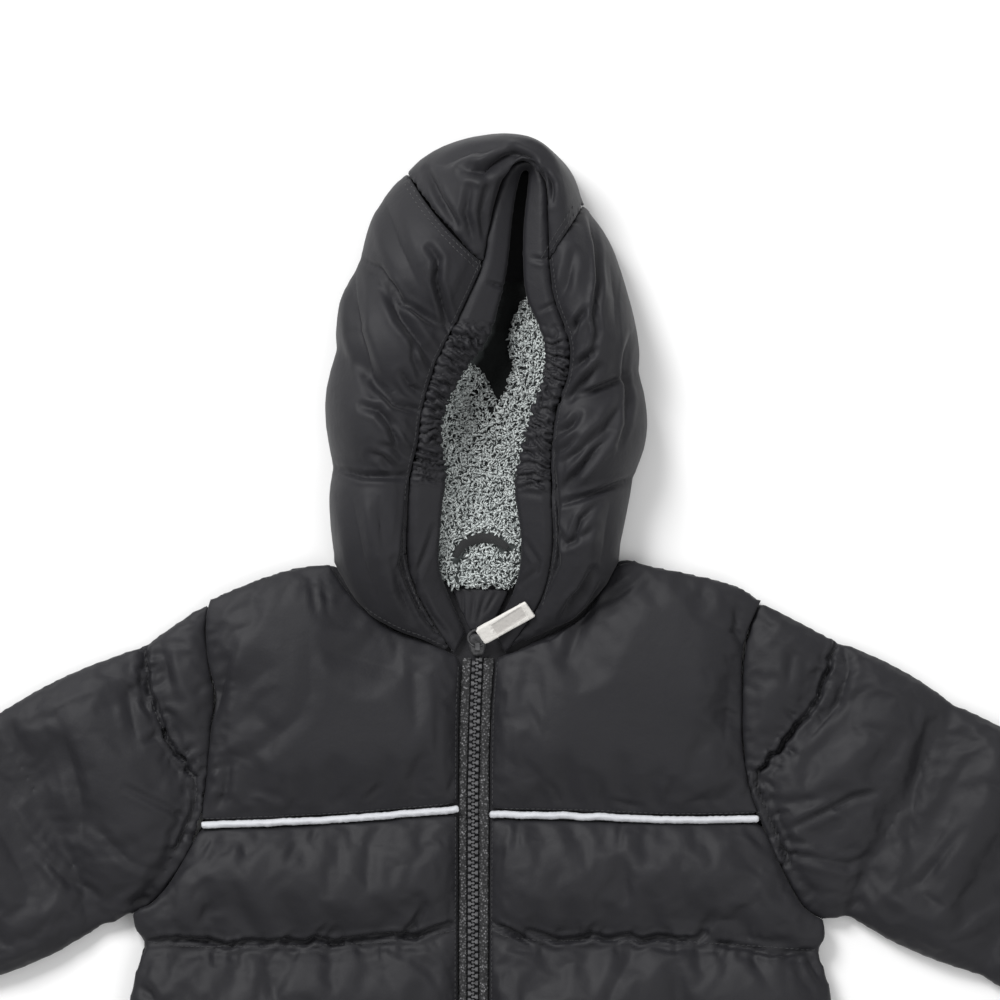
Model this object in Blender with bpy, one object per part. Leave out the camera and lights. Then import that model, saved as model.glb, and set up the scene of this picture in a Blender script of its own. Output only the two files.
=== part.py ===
"""A child's hooded padded jacket, zipped up and laid flat on its back.

The tables are in millimetres. X runs across the jacket, Y towards the crown of the hood and
Z up from the table it lies on. X = 0 is the zip and Y = 0 is the chest seam with its piping.
Left and right are those of someone looking down at the jacket.
"""

import math

import bmesh
import bpy
from mathutils import Vector

MM = 0.001

# Driving dimensions, in millimetres
GAP = 0.3
BACK_WALL = 8.0
FRONT_FLOOR = BACK_WALL + GAP
SEAM_WALL = 4.2
SEAM_TOP = FRONT_FLOOR + SEAM_WALL
ROW_PUFF = 10.5
FULL_ROW = 62.0
PUCKER_PITCH = 23.0
PUCKER_DEPTH = 1.3
PIPING_WIDTH = 3.7
PIPING_TOP = 15.4
HEM_Y = -287.0

SLEEVE_SLIT = 0.5
SLEEVE_EDGE_Z = 8.0
SLEEVE_PUFF = 11.5
SLEEVE_EDGE_WALL = 7.0

TAPE_THICK = 1.5
CHAIN_WIDTH = 5.8
CHAIN_TOP = 11.8
TAPE_INNER = CHAIN_WIDTH / 2 + GAP
SLIDER = Vector((1.9, 93.0))
SLIDER_SIZE = (9.4, 12.0)
SLIDER_TOP = 14.2
RING_RADIUS = 5.2
RING_WIRE = 0.7
PULL_AXIS_Z = SLIDER_TOP + 0.9 + RING_WIRE
PULL_TILT = 27.0
STRAP_LENGTH = 33.0
STRAP_WIDTH = 11.0
STRAP_HEADING = 32.0

HOOD_SEAM_WALL = 2.6
HOOD_PUFF = 8.0
HOOD_EDGE_Z = 12.0
HOOD_FLOOR_WALL = 5.0
TONGUE_LEFT = -30.0
TONGUE_RIGHT = 56.0
NAPE_Y = 138.0
TONGUE_TOP = 344.0
CASING_DROP = 5.0
CASING_THICK = 5.0
RUCHE_DEPTH = 1.5
LINING_THICK = 4.0

# Plan curves of the body (x, y)
ARMHOLE_LEFT = [
    (-147, 120), (-149.8, 108), (-149, 87), (-144.5, 65), (-147, 46), (-149.6, 18), (-152, 2),
]
ARMHOLE_LEFT_LOWER = [
    (-152, 2), (-154.3, -11), (-163, -27.7), (-172.5, -42.6), (-181, -51), (-191, -56.6),
]
UNDERARM_LEFT = [(-191, -56.6), (-191.5, -62), (-188, -68.5), (-184, -72)]
ARMHOLE_RIGHT = [
    (160.7, 119.3), (153.4, 102.5), (150, 88), (149.8, 62), (149.8, 40), (153, 18), (159, -1),
]
ARMHOLE_RIGHT_LOWER = [
    (159, -1), (164, -13.4), (172, -31), (183.7, -52), (195.4, -60),
]
UNDERARM_RIGHT = [(195.4, -60), (197.5, -67), (196.5, -72), (192.6, -77)]
SHOULDER_LEFT = [(-147, 120), (-122, 130.5), (-103, 136.6), (-81, 140)]
SHOULDER_RIGHT = [(160.7, 119.3), (146, 128), (128, 132.4), (109, 136.6), (96, 138.3), (85, 143.5)]
BACK_NECK = [(-81, 139.5), (-72, 136.2), (0, 136.2), (72, 136.2), (85, 143)]

# Quilt lines of the fronts, from the side to the zip (x, y)
PIPING_LEFT = [(-152, 2 - 9), (-100, -5), (-60, -2.5), (-8.8, 2)]
PIPING_RIGHT = [(159, -1 - 2.5), (110, -4), (60, -2), (9, -1)]
QUILTS_LEFT = [
    [(-184, -72), (-150, -75), (-70, -73.5), (-40, -71), (-9, -65.5)],
    [(-190, -141), (-130, -145), (-60, -144), (-9, -139)],
    [(-193, -213), (-130, -217), (-60, -216), (-9.2, -213)],
    [(-196, HEM_Y + 3), (-130, HEM_Y), (-60, HEM_Y), (-9.3, HEM_Y)],
]
QUILTS_RIGHT = [
    [(192.6, -77), (150, -74), (109, -72), (27, -70.6), (8.6, -63)],
    [(198, -143), (130, -146), (60, -144), (8.4, -139)],
    [(200, -214), (130, -217), (60, -216), (8.3, -213)],
    [(202, HEM_Y + 3), (130, HEM_Y), (60, HEM_Y), (8.3, HEM_Y)],
]
SIDE_BULGE = 6.0

# Zip: chain centre and the fronts' edges (y, chain x, left edge x, right edge x)
ZIP_LINE = [
    (86.5, 1.8, -6.9, 11.8),
    (56.6, 0.6, -8.4, 9.6),
    (15.0, -0.5, -8.7, 8.9),
    (-105.0, -0.6, -9.0, 8.4),
    (HEM_Y, -0.6, -9.3, 8.3),
]

# Rings of a sleeve past the armhole, along its axis from ARM_CENTRE (along, width)
SLEEVE_RINGS = [(15, 134), (97, 124), (179, 110), (238, 97)]
ARM_SLOPE = 28.0
ARM_CENTRES = {"left": (-224.0, 3.0), "right": (224.6, 9.0)}
CAP_RING_LEFT = [
    (-185, 94), (-180, 62), (-170, 40), (-155.5, 17), (-158, 0), (-167, -21), (-178, -40), (-194.5, -54),
]
CAP_RING_RIGHT = [
    (203, 97), (192, 66), (176, 42), (158.5, 20), (164.5, -2), (177, -28), (189, -49), (200.5, -59),
]

# The hood, from the left end of the neck seam over the crown to the right end.
# casing_in, casing_out and outline are plan points, rim is the height at casing_out,
# sag is how far the row bends towards the hem.
HOOD_ROWS = [
    # casing_in      casing_out       outline          rim  sag
    ((-4.5, 100.8), (-10.8, 88.4), (-77.3, 138.5), 13, 13.5),
    ((-15.1, 125.4), (-28.0, 115.0), (-77.5, 149.0), 24, 11),
    ((-19.0, 141.1), (-37.0, 140.0), (-78.4, 163.5), 33, 6),
    ((-17.4, 168.0), (-37.0, 168.0), (-79.5, 178.5), 38, 2),
    ((-15.1, 189.3), (-35.3, 189.3), (-79.0, 193.8), 40, 0),
    ((-17.9, 209.0), (-31.0, 208.3), (-81.5, 227.9), 42, 0),
    ((-15.7, 225.7), (-29.1, 224.0), (-77.3, 258.0), 43, 0),
    ((-5.0, 246.4), (-22.0, 249.0), (-73.5, 284.0), 44, 2),
    ((9.0, 266.0), (-11.8, 269.9), (-63.8, 308.0), 45, 4),
    ((15.7, 287.8), (-2.2, 290.1), (-53.8, 334.3), 46, 4),
    ((19.0, 304.6), (4.9, 306.0), (-37.5, 357.5), 46, 3),
    ((20.7, 320.3), (7.5, 321.5), (-25.8, 367.0), 46, 2),
    ((22.4, 337.1), (11.0, 338.2), (-12.4, 372.8), 45, 0),
    ((25.2, 352.0), (16.5, 354.5), (2.2, 376.0), 43, 0),
    ((27.6, 357.8), (24.0, 362.5), (16.2, 377.0), 41, 0),
    ((30.2, 357.8), (34.6, 362.0), (31.4, 374.1), 41, 0),
    ((29.7, 349.4), (40.3, 350.0), (45.8, 365.2), 43, 0),
    ((27.4, 328.7), (41.5, 329.4), (55.3, 354.6), 45, 0),
    ((26.9, 308.0), (42.0, 308.0), (61.5, 340.0), 46, 1),
    ((29.1, 286.7), (45.0, 286.7), (75.5, 317.0), 46, 1),
    ((38.0, 266.0), (53.0, 263.5), (85.1, 285.0), 46, 0),
    ((39.2, 245.5), (52.5, 244.7), (90.6, 263.0), 45, 0),
    ((32.5, 225.1), (46.5, 226.2), (92.5, 246.4), 44, 0),
    ((26.3, 202.7), (43.1, 201.0), (95.3, 215.0), 43, 0),
    ((22.4, 180.3), (43.2, 176.0), (89.0, 187.0), 41, 1),
    ((26.0, 149.5), (44.0, 147.0), (82.8, 164.0), 36, 3),
    ((21.8, 124.3), (37.0, 117.6), (80.0, 150.5), 25, 8),
    ((10.1, 100.8), (17.2, 88.6), (81.2, 141.0), 13, 11),
]
HOOD_QUILTS = [0, 4, 6, 8, 10, 18, 22, 24, 27]
HOOD_LEFT = (0, 10)
HOOD_CENTRE = (10, 18)
HOOD_RIGHT = (18, 27)
RUCHE_SPANS = [(4.2, 8.4), (20.0, 24.2)]
RUCHE_WAVES = 3.2

# Hood lining, from the face opening's tip to the neck (y, left x, right x, rim z, valley x, valley z)
LINING_ROWS = [
    (296, 16.0, 29.0, 34.5, 22, 30),
    (284, 12.5, 32.5, 34.2, 21, 25),
    (265, 5.5, 41.5, 33.5, 15, 19),
    (246, -5.5, 42.0, 33, 10, 16),
    (226, -18.5, 36.0, 32, 1, 14),
    (208, -20.0, 30.5, 31, -3, 13),
    (189, -18.0, 26.0, 28, -1, 12.8),
    (168, -20.0, 26.5, 26, 2, 12.6),
    (150, -21.0, 28.5, 22, 4, 12.6),
    (137, -19.5, 26.5, 17.5, 4, 12.6),
    (127, -13.5, 21.0, 14.4, 3, 12.6),
]

# Large folds pressed into the body and the sleeves (start x, start y, end x, end y, half width, depth)
FOLDS = [
    (-143, 78, -108, 40, 8, 3.0),
    (-146, 40, -118, 12, 7, 3.0),
    (-120, 60, -60, 48, 9, 1.6),
    (-40, 84, -28, 30, 8, 1.5),
    (30, 80, 26, 20, 8, 1.5),
    (94, 134, 72, 116, 7, 2.0),
    (148, 60, 118, 34, 8, 2.4),
    (60, 60, 120, 48, 9, 1.4),
    (224, 12, 172, -6, 7, 3.2),
    (224, -22, 172, -26, 7, 2.4),
    (-193, 12, -154, -8, 7, 2.8),
    (-120, -20, -104, -58, 7, 1.6),
    (-62, -80, -56, -130, 8, 1.6),
    (70, -20, 80, -60, 8, 1.4),
    (120, -84, 112, -136, 8, 1.6),
    (-30, -88, -36, -130, 8, 1.4),
]

SHELL_COLOUR = (0.030, 0.030, 0.034, 1.0)
PIPING_COLOUR = (0.68, 0.68, 0.71, 1.0)
SHERPA_COLOUR = (0.42, 0.46, 0.45, 1.0)
TAPE_COLOUR = (0.045, 0.045, 0.050, 1.0)
TOOTH_COLOUR = (0.025, 0.025, 0.028, 1.0)
SLIDER_COLOUR = (0.06, 0.06, 0.065, 1.0)
STRAP_COLOUR = (0.78, 0.76, 0.72, 1.0)


# --- Curves and grids of points ---

def blend(a, b, t):
    """The point a share t of the way from a to b."""
    return a + (b - a) * t


def through(points, t):
    """A smooth curve through the points (Catmull-Rom), read at t, counted in points."""
    last = len(points) - 1
    i = min(int(t), last - 1)
    s = t - i
    before, start = points[max(i - 1, 0)], points[i]
    end, after = points[i + 1], points[min(i + 2, last)]
    rise = (end - before) * 0.5
    fall = (after - start) * 0.5
    return (start * (2 * s**3 - 3 * s**2 + 1) + rise * (s**3 - 2 * s**2 + s)
            + end * (3 * s**2 - 2 * s**3) + fall * (s**3 - s**2))


def along(points, shares):
    """Points at the given shares of the length of a polyline."""
    lengths = [0.0]
    for a, b in zip(points, points[1:]):
        lengths.append(lengths[-1] + (b - a).length)
    found = []
    k = 0
    for share in shares:
        want = share * lengths[-1]
        while k < len(points) - 2 and lengths[k + 1] < want:
            k += 1
        step = lengths[k + 1] - lengths[k]
        found.append(blend(points[k], points[k + 1], (want - lengths[k]) / step))
    return found


def smooth(points, shares):
    """Points at the given shares of the length of a smooth curve through the points."""
    knots = [Vector(p) for p in points]
    fine = 8 * (len(knots) - 1)
    dense = [through(knots, k / 8) for k in range(fine + 1)]
    return along(dense, shares)


def spaced(count, crowding=0.0):
    """Shares from 0 to 1, crowded towards both ends by the given amount."""
    shares = []
    for k in range(count + 1):
        even = k / count
        shares.append(even * (1 - crowding) + crowding * (0.5 - 0.5 * math.cos(math.pi * even)))
    return shares


def coons(bottom, top, side, inner, us, vs):
    """Plan points between four edges that meet at their corners, row by row upwards."""
    grid = []
    for j, v in enumerate(vs):
        row = []
        for i, u in enumerate(us):
            across = blend(side[j], inner[j], u)
            upward = blend(bottom[i], top[i], v)
            corners = blend(blend(bottom[0], bottom[-1], u), blend(top[0], top[-1], u), v)
            row.append(across + upward - corners)
        grid.append(row)
    return grid


def drawn_in(loop, distance):
    """A closed plan loop moved towards its own inside."""
    area = sum(a.x * b.y - b.x * a.y for a, b in zip(loop, loop[1:] + loop[:1]))
    turn = 1.0 if area > 0 else -1.0
    moved = []
    for k, point in enumerate(loop):
        run = (loop[(k + 1) % len(loop)] - loop[k - 1]).normalized()
        moved.append(point + Vector((-run.y, run.x)) * (turn * distance))
    return moved


def border(grid):
    """Indices of a grid's edge, once round."""
    rows, cols = len(grid), len(grid[0])
    loop = [(0, i) for i in range(cols)]
    loop += [(j, cols - 1) for j in range(1, rows)]
    loop += [(rows - 1, i) for i in range(cols - 2, -1, -1)]
    loop += [(j, 0) for j in range(rows - 2, 0, -1)]
    return loop


def swell(t, power=0.7):
    """Height of a padded row at a share t of its width, 0 at both seams."""
    return math.sin(math.pi * min(max(t, 0.0), 1.0)) ** power


def fold_depth(x, y):
    """How deep the large folds press the cloth at a plan point."""
    depth = 0.0
    for x0, y0, x1, y1, half_width, deepest in FOLDS:
        run = Vector((x1 - x0, y1 - y0))
        reach = Vector((x - x0, y - y0))
        t = min(max(reach.dot(run) / run.length_squared, 0.0), 1.0)
        away = (reach - run * t).length / half_width
        depth += deepest * swell(0.12 + 0.76 * t) * math.exp(-away * away)
    return depth


# --- Meshes ---

def material(name, colour, roughness, metallic=0.0):
    shader = bpy.data.materials.get(name) or bpy.data.materials.new(name)
    shader.use_nodes = True
    surface = shader.node_tree.nodes["Principled BSDF"]
    surface.inputs["Base Color"].default_value = colour
    surface.inputs["Roughness"].default_value = roughness
    surface.inputs["Metallic"].default_value = metallic
    return shader


def add_piece(name, points, faces, look, rounded=True):
    """An object from points in millimetres, its faces turned outwards."""
    mesh = bpy.data.meshes.new(name)
    mesh.from_pydata([Vector(p) * MM for p in points], [], faces)
    shape = bmesh.new()
    shape.from_mesh(mesh)
    bmesh.ops.recalc_face_normals(shape, faces=shape.faces)
    shape.to_mesh(mesh)
    shape.free()
    if rounded:
        mesh.shade_smooth()
        mesh.set_sharp_from_angle(angle=math.radians(50))
    mesh.materials.append(look)
    piece = bpy.data.objects.new(name, mesh)
    JACKET.objects.link(piece)
    return piece


def slab(name, grid, floor, look):
    """A panel with the grid as its outer side over a plain flat inside."""
    rows, cols = len(grid), len(grid[0])
    points = [p for row in grid for p in row]
    faces = []
    for j in range(rows - 1):
        for i in range(cols - 1):
            k = j * cols + i
            faces.append((k, k + 1, k + cols + 1, k + cols))
    edge = [j * cols + i for j, i in border(grid)]
    first = len(points)
    points += [(points[k][0], points[k][1], floor) for k in edge]
    count = len(edge)
    for n, k in enumerate(edge):
        after = (n + 1) % count
        faces.append((k, edge[after], first + after, first + n))
    faces.append(tuple(first + n for n in range(count)))
    return add_piece(name, points, faces, look)


def wall(name, outer, inner, look, tube=False):
    """A closed wall between an outer and an inner grid; a tube joins each row's ends."""
    rows, cols = len(outer), len(outer[0])
    points = [p for row in outer for p in row] + [p for row in inner for p in row]
    inside = rows * cols
    span = cols if tube else cols - 1
    faces = []
    for j in range(rows - 1):
        for i in range(span):
            a, b = j * cols + i, j * cols + (i + 1) % cols
            faces.append((a, b, b + cols, a + cols))
            faces.append((inside + a, inside + a + cols, inside + b + cols, inside + b))
    for j in (0, rows - 1):
        for i in range(span):
            a, b = j * cols + i, j * cols + (i + 1) % cols
            faces.append((a, b, inside + b, inside + a))
    if not tube:
        for j in range(rows - 1):
            for i in (0, cols - 1):
                a = j * cols + i
                faces.append((a, a + cols, inside + a + cols, inside + a))
    return add_piece(name, points, faces, look)


def normals(grid):
    """The normal at each point of a grid, from its neighbours."""
    rows, cols = len(grid), len(grid[0])
    found = []
    for j in range(rows):
        row = []
        for i in range(cols):
            across = grid[j][min(i + 1, cols - 1)] - grid[j][max(i - 1, 0)]
            upward = grid[min(j + 1, rows - 1)][i] - grid[max(j - 1, 0)][i]
            row.append(across.cross(upward).normalized())
        found.append(row)
    return found


def bar(name, line, section, look):
    """A bar along plan points; section lists its (sideways, height) corners."""
    rings = []
    for k, point in enumerate(line):
        run = (line[min(k + 1, len(line) - 1)] - line[max(k - 1, 0)]).normalized()
        side = Vector((run.y, -run.x))
        rings.append([(*(point + side * s), z) for s, z in section])
    size = len(section)
    points = [p for ring in rings for p in ring]
    faces = [tuple(range(size)), tuple(range(len(points) - size, len(points)))]
    for j in range(len(rings) - 1):
        for i in range(size):
            a, b = j * size + i, j * size + (i + 1) % size
            faces.append((a, b, b + size, a + size))
    return add_piece(name, points, faces, look)


# --- Body ---

def zip_edge(column, top, bottom, vs):
    """The fronts' edge (or the chain's line) between two heights on the zip."""
    knots = [Vector((row[column], row[0])) for row in ZIP_LINE]
    line = smooth(knots, spaced(60))
    found = []
    for v in vs:
        y = bottom + (top - bottom) * v
        k = min(range(len(line)), key=lambda n: abs(line[n].y - y))
        found.append(Vector((line[k].x, y)))
    return found


def padded_rows(name, blocks, us, look, phase):
    """A front piece of one or more padded rows; each block is (bottom, top, side, inner, vs)."""
    grid = []
    for index, (bottom, top, side, inner, vs) in enumerate(blocks):
        plan = coons(bottom, top, side, inner, us, vs)
        first = 0 if index == 0 else 1
        for j in range(first, len(vs)):
            row = []
            for i, u in enumerate(us):
                point = plan[j][i]
                width = (plan[-1][i] - plan[0][i]).length
                puff = ROW_PUFF * min(1.0, width / FULL_ROW) ** 0.8
                outer_edge = math.sin(math.pi / 2 * min(1.0, u / 0.13)) ** 0.75
                zip_side = math.sin(math.pi / 2 * min(1.0, (1 - u) / 0.10)) ** 0.75
                rise = puff * swell(vs[j]) * outer_edge * zip_side
                near = min(vs[j], 1 - vs[j]) * width
                wave = math.sin(math.tau * point.x / PUCKER_PITCH + phase + 1.7 * index)
                pucker = PUCKER_DEPTH * wave * math.exp(-near / 16.0) * min(1.0, near / 6.0)
                height = rise + pucker * outer_edge * zip_side
                height -= fold_depth(point.x, point.y) * min(1.0, rise / ROW_PUFF)
                row.append(Vector((point.x, point.y, SEAM_TOP + max(height, 0.0))))
            grid.append(row)
    edge = border(grid)
    loop = drawn_in([grid[j][i].to_2d() for j, i in edge], 0.6 * GAP)
    for (j, i), point in zip(edge, loop):
        grid[j][i] = Vector((point.x, point.y, SEAM_TOP))
    return slab(name, grid, FRONT_FLOOR, look)


def neck_curve(row, shares):
    """Plan points of a hood row, from its casing to its outline."""
    casing, outline, sag = Vector(row[1]), Vector(row[2]), row[4]
    found = []
    for w in shares:
        point = blend(casing, outline, w)
        found.append(point - Vector((0.0, sag * math.sin(math.pi * w**1.5))))
    return found


def shifted(points, offset):
    return [p + Vector((0.0, offset)) for p in points]


def make_front(side, armhole, armhole_lower, underarm, shoulder, piping, quilts, neck_row, phase):
    column = 2 if side == "left" else 3
    us = spaced(18, 0.35)
    piping_line = smooth(piping, us)
    margin = PIPING_WIDTH / 2

    vs = spaced(11, 0.3)
    bottom = shifted(piping_line, margin)
    inner = zip_edge(column, ZIP_LINE[0][0], bottom[-1].y, vs)
    bottom[-1] = inner[0]
    neck = [p - Vector((0.0, 2 * GAP)) for p in neck_curve(neck_row, spaced(16))]
    edge = [Vector(p) for p in shoulder] + neck[-2::-1] + [inner[-1]]
    top = along(edge, us)
    arm = smooth(armhole[:-1] + [tuple(bottom[0])], spaced(11, 0.3))[::-1]
    padded_rows("yoke_" + side, [(bottom, top, arm, inner, vs)], us, SHELL, phase)

    blocks = []
    lines = [shifted(piping_line, -margin)] + [smooth(q, us) for q in quilts]
    for index in range(len(lines) - 1, 0, -1):
        low, high = lines[index], lines[index - 1]
        vs = spaced(9 if index == 1 else 6, 0.25)
        inner = zip_edge(column, high[-1].y, low[-1].y, vs)
        low, high = low[:-1] + [inner[0]], high[:-1] + [inner[-1]]
        if index == 1:
            knots = [tuple(high[0])] + armhole_lower[1:] + underarm[1:]
            arm = smooth(knots[:-1] + [tuple(low[0])], [1 - v for v in vs[::-1]])[::-1]
        else:
            out = -1.0 if side == "left" else 1.0
            arm = [blend(low[0], high[0], v) for v in vs]
            arm = [p + Vector((out * SIDE_BULGE * swell(v, 1.0), 0.0)) for p, v in zip(arm, vs)]
        lines[index] = low
        lines[index - 1] = high
        blocks.append((low, high, arm, inner, vs))
    padded_rows("front_" + side, blocks, us, SHELL, phase + 0.9)

    arch = [
        (-PIPING_WIDTH / 2 + 0.2, FRONT_FLOOR), (-PIPING_WIDTH / 2 + 0.2, PIPING_TOP - 1.2),
        (0.0, PIPING_TOP), (PIPING_WIDTH / 2 - 0.2, PIPING_TOP - 1.2),
        (PIPING_WIDTH / 2 - 0.2, FRONT_FLOOR),
    ]
    strip = along(piping_line, spaced(16))
    bar("piping_" + side, strip, arch, PIPING)


def side_line(quilts, sign):
    """The body's side below the underarm, bulging between the quilt lines."""
    ends = [Vector(q[0]) for q in quilts]
    points = []
    for high, low in zip(ends, ends[1:]):
        for v in spaced(6)[:-1]:
            out = sign * SIDE_BULGE * swell(v, 1.0)
            points.append(blend(high, low, v) + Vector((out, 0.0)))
    return points + [ends[-1]]


def make_back():
    """One panel under everything: flat below, with a rounded free edge."""
    left = smooth(ARMHOLE_LEFT, spaced(14)) + smooth(ARMHOLE_LEFT_LOWER, spaced(10))[1:]
    left += smooth(UNDERARM_LEFT, spaced(4))[1:-1] + side_line(QUILTS_LEFT, -1.0)
    right = smooth(ARMHOLE_RIGHT, spaced(14)) + smooth(ARMHOLE_RIGHT_LOWER, spaced(10))[1:]
    right += smooth(UNDERARM_RIGHT, spaced(4))[1:-1] + side_line(QUILTS_RIGHT, 1.0)
    hem = [blend(left[-1], right[-1], t) - Vector((0.0, 3.0 * swell(t, 0.4))) for t in spaced(10)]
    shoulder_left = [Vector(p) for p in SHOULDER_LEFT]
    shoulder_right = [Vector(p) for p in SHOULDER_RIGHT]
    loop = left + hem[1:-1] + right[::-1] + shoulder_right[1:]
    loop += [Vector(p) for p in BACK_NECK[-2:0:-1]] + shoulder_left[:0:-1]
    points = []
    for inset, z in ((0.6 * GAP, BACK_WALL), (0.6 * GAP, 4.5), (1.8, 1.6), (4.2, 0.0)):
        points += [(p.x, p.y, z) for p in drawn_in(loop, inset)]
    count = len(loop)
    faces = [tuple(range(count)), tuple(range(3 * count, 4 * count))]
    for ring in range(3):
        for k in range(count):
            a, b = ring * count + k, ring * count + (k + 1) % count
            faces.append((a, b, b + count, a + count))
    add_piece("back_panel", points, faces, SHELL)


# --- Sleeves ---

def make_sleeve(side):
    sign = -1.0 if side == "left" else 1.0
    if side == "left":
        armhole = ARMHOLE_LEFT + ARMHOLE_LEFT_LOWER[1:]
        cap = CAP_RING_LEFT
    else:
        armhole = ARMHOLE_RIGHT + ARMHOLE_RIGHT_LOWER[1:]
        cap = CAP_RING_RIGHT
    ws = spaced(12, 0.75)
    slope = math.radians(ARM_SLOPE)
    axis = Vector((sign * math.cos(slope), -math.sin(slope)))
    rise = Vector((sign * math.sin(slope), math.cos(slope)))
    centre = Vector(ARM_CENTRES[side])
    seam = smooth(armhole, ws)
    seam = [p + axis * (3 * GAP) for p in seam]
    lines = [seam, smooth(cap, ws)]
    for distance, width in SLEEVE_RINGS:
        middle = centre + axis * distance
        lines.append([middle + rise * width * (0.5 - w) for w in ws])

    outer, inner = [], []
    for index in range(len(lines) - 1):
        first = 0 if index == 0 else 1
        steps = spaced(5 if index < 3 else 4, 0.25)
        for v in steps[first:]:
            flat = [blend(a, b, v) for a, b in zip(lines[index], lines[index + 1])]
            spread = (flat[0] - flat[-1]).length
            out = (flat[0] - flat[-1]).normalized()
            if index > 0:
                bulge = 3.5 * swell(v, 1.0)
                flat = [p + out * bulge * (1 - 2 * w) for p, w in zip(flat, ws)]
            top = []
            for k, w in enumerate(ws):
                length = (lines[index + 1][k] - lines[index][k]).length
                puff = SLEEVE_PUFF * min(1.0, length / 70.0) ** 0.7 * swell(v)
                crown = SEAM_TOP + puff
                round_off = max(0.0, 1 - abs(2 * w - 1) ** 3.2) ** 0.5
                z = SLEEVE_EDGE_Z + (crown - SLEEVE_EDGE_Z) * round_off
                z -= fold_depth(flat[k].x, flat[k].y) * min(1.0, puff / SLEEVE_PUFF) * round_off
                top.append(Vector((flat[k].x, flat[k].y, max(z, SLEEVE_EDGE_Z))))
            under = []
            for w, z in ((0.985, 3.5), (0.94, 0.0), (0.5, 0.0), (0.06, 0.0), (0.015, 3.5)):
                p = along(flat, [w])[0]
                under.append(Vector((p.x, p.y, z)))
            outer.append(top + under)

            margin = SLEEVE_EDGE_WALL / spread
            hollow = []
            for w in ws:
                p = along(flat, [margin + (1 - 2 * margin) * w])[0]
                lift = SLEEVE_SLIT / 2 * max(0.0, 1 - abs(2 * w - 1) ** 6)
                hollow.append(Vector((p.x, p.y, FRONT_FLOOR + lift)))
            for w in (0.985, 0.94, 0.5, 0.06, 0.015):
                p = along(flat, [margin + (1 - 2 * margin) * w])[0]
                hollow.append(Vector((p.x, p.y, FRONT_FLOOR - SLEEVE_SLIT / 2)))
            inner.append(hollow)
    wall("sleeve_" + side, outer, inner, SHELL, tube=True)


# --- Zip ---

def make_zip():
    vs = spaced(14)
    top = ZIP_LINE[0][0]
    chain_end = HEM_Y + 11.0
    chain = zip_edge(1, top, chain_end, vs)
    half = CHAIN_WIDTH / 2
    section = [
        (-half, FRONT_FLOOR + 0.1), (-half, CHAIN_TOP - 0.6), (-half + 0.7, CHAIN_TOP),
        (half - 0.7, CHAIN_TOP), (half, CHAIN_TOP - 0.6), (half, FRONT_FLOOR + 0.1),
    ]
    bar("zip_chain", chain, section, TOOTH)

    for side, column in (("left", 2), ("right", 3)):
        sign = -1.0 if side == "left" else 1.0
        edge = zip_edge(column, top, HEM_Y, vs)
        middle = zip_edge(1, top, HEM_Y, vs)
        near = [p + Vector((sign * TAPE_INNER, 0.0)) for p in middle]
        far = [p - Vector((sign * GAP, 0.0)) for p in edge]
        height = FRONT_FLOOR + TAPE_THICK
        grid = [[Vector((*a, height)), Vector((*blend(a, b, 0.5), height + 0.5)), Vector((*b, height))]
                for a, b in zip(near, far)]
        slab("zip_tape_" + side, grid, FRONT_FLOOR, TAPE)

    box_centre = Vector((ZIP_LINE[-1][1], HEM_Y + 5.4))
    block = [
        (-3.6, 0.0), (-3.6, 3.4), (-2.8, 4.2), (2.8, 4.2), (3.6, 3.4), (3.6, 0.0),
    ]
    block = [(s * 0.78, FRONT_FLOOR + 0.1 + z) for s, z in block]
    ends = [box_centre + Vector((0.0, -5.0)), box_centre + Vector((0.0, 5.0))]
    bar("zip_box", ends, block, TOOTH)


def make_slider():
    """Slider body with a bridge over a tunnel that the pull ring passes through."""
    half_x, half_y = SLIDER_SIZE[0] / 2, SLIDER_SIZE[1] / 2
    outline = []
    for k in range(20):
        a = math.tau * k / 20
        x = half_x * math.copysign(abs(math.cos(a)) ** 0.6, math.cos(a))
        y = half_y * math.copysign(abs(math.sin(a)) ** 0.6, math.sin(a))
        outline.append(Vector((SLIDER.x + x * (1.0 - 0.12 * (y < 0)), SLIDER.y + 0.9 + y)))
    points = []
    for inset, z in ((0.5, FRONT_FLOOR + 0.2), (0.0, 9.4), (0.0, SLIDER_TOP - 0.7), (0.7, SLIDER_TOP)):
        points += [(p.x, p.y, z) for p in drawn_in(outline, inset)]
    faces = [tuple(range(20)), tuple(range(60, 80))]
    for ring in range(3):
        for k in range(20):
            a, b = ring * 20 + k, ring * 20 + (k + 1) % 20
            faces.append((a, b, b + 20, a + 20))
    body = add_piece("zip_slider", points, faces, METAL)

    tunnel = RING_WIRE + 0.75
    roof = PULL_AXIS_Z + RING_WIRE + 0.45
    foot = SLIDER_TOP - 0.6
    arch = [
        (-tunnel - 1.5, foot), (-tunnel - 1.3, roof), (-tunnel - 0.5, roof + 0.9),
        (tunnel + 0.5, roof + 0.9), (tunnel + 1.3, roof), (tunnel + 1.5, foot),
        (tunnel, foot), (tunnel, roof), (-tunnel, roof), (-tunnel, foot),
    ]
    points = []
    for x in (-1.3, 1.3):
        points += [(SLIDER.x + x, SLIDER.y + y, z) for y, z in arch]
    size = len(arch)
    faces = [tuple(range(size)), tuple(range(size, 2 * size))]
    faces += [(k, (k + 1) % size, size + (k + 1) % size, size + k) for k in range(size)]
    bridge = add_piece("slider_bridge", points, faces, METAL, rounded=False)
    join_solids(body, bridge)


def join_solids(target, other):
    """Unite two closed solids into the first and drop the second."""
    cut = target.modifiers.new("join", "BOOLEAN")
    cut.operation = "UNION"
    cut.object = other
    bake_modifiers(target)
    bpy.data.objects.remove(other)


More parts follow.
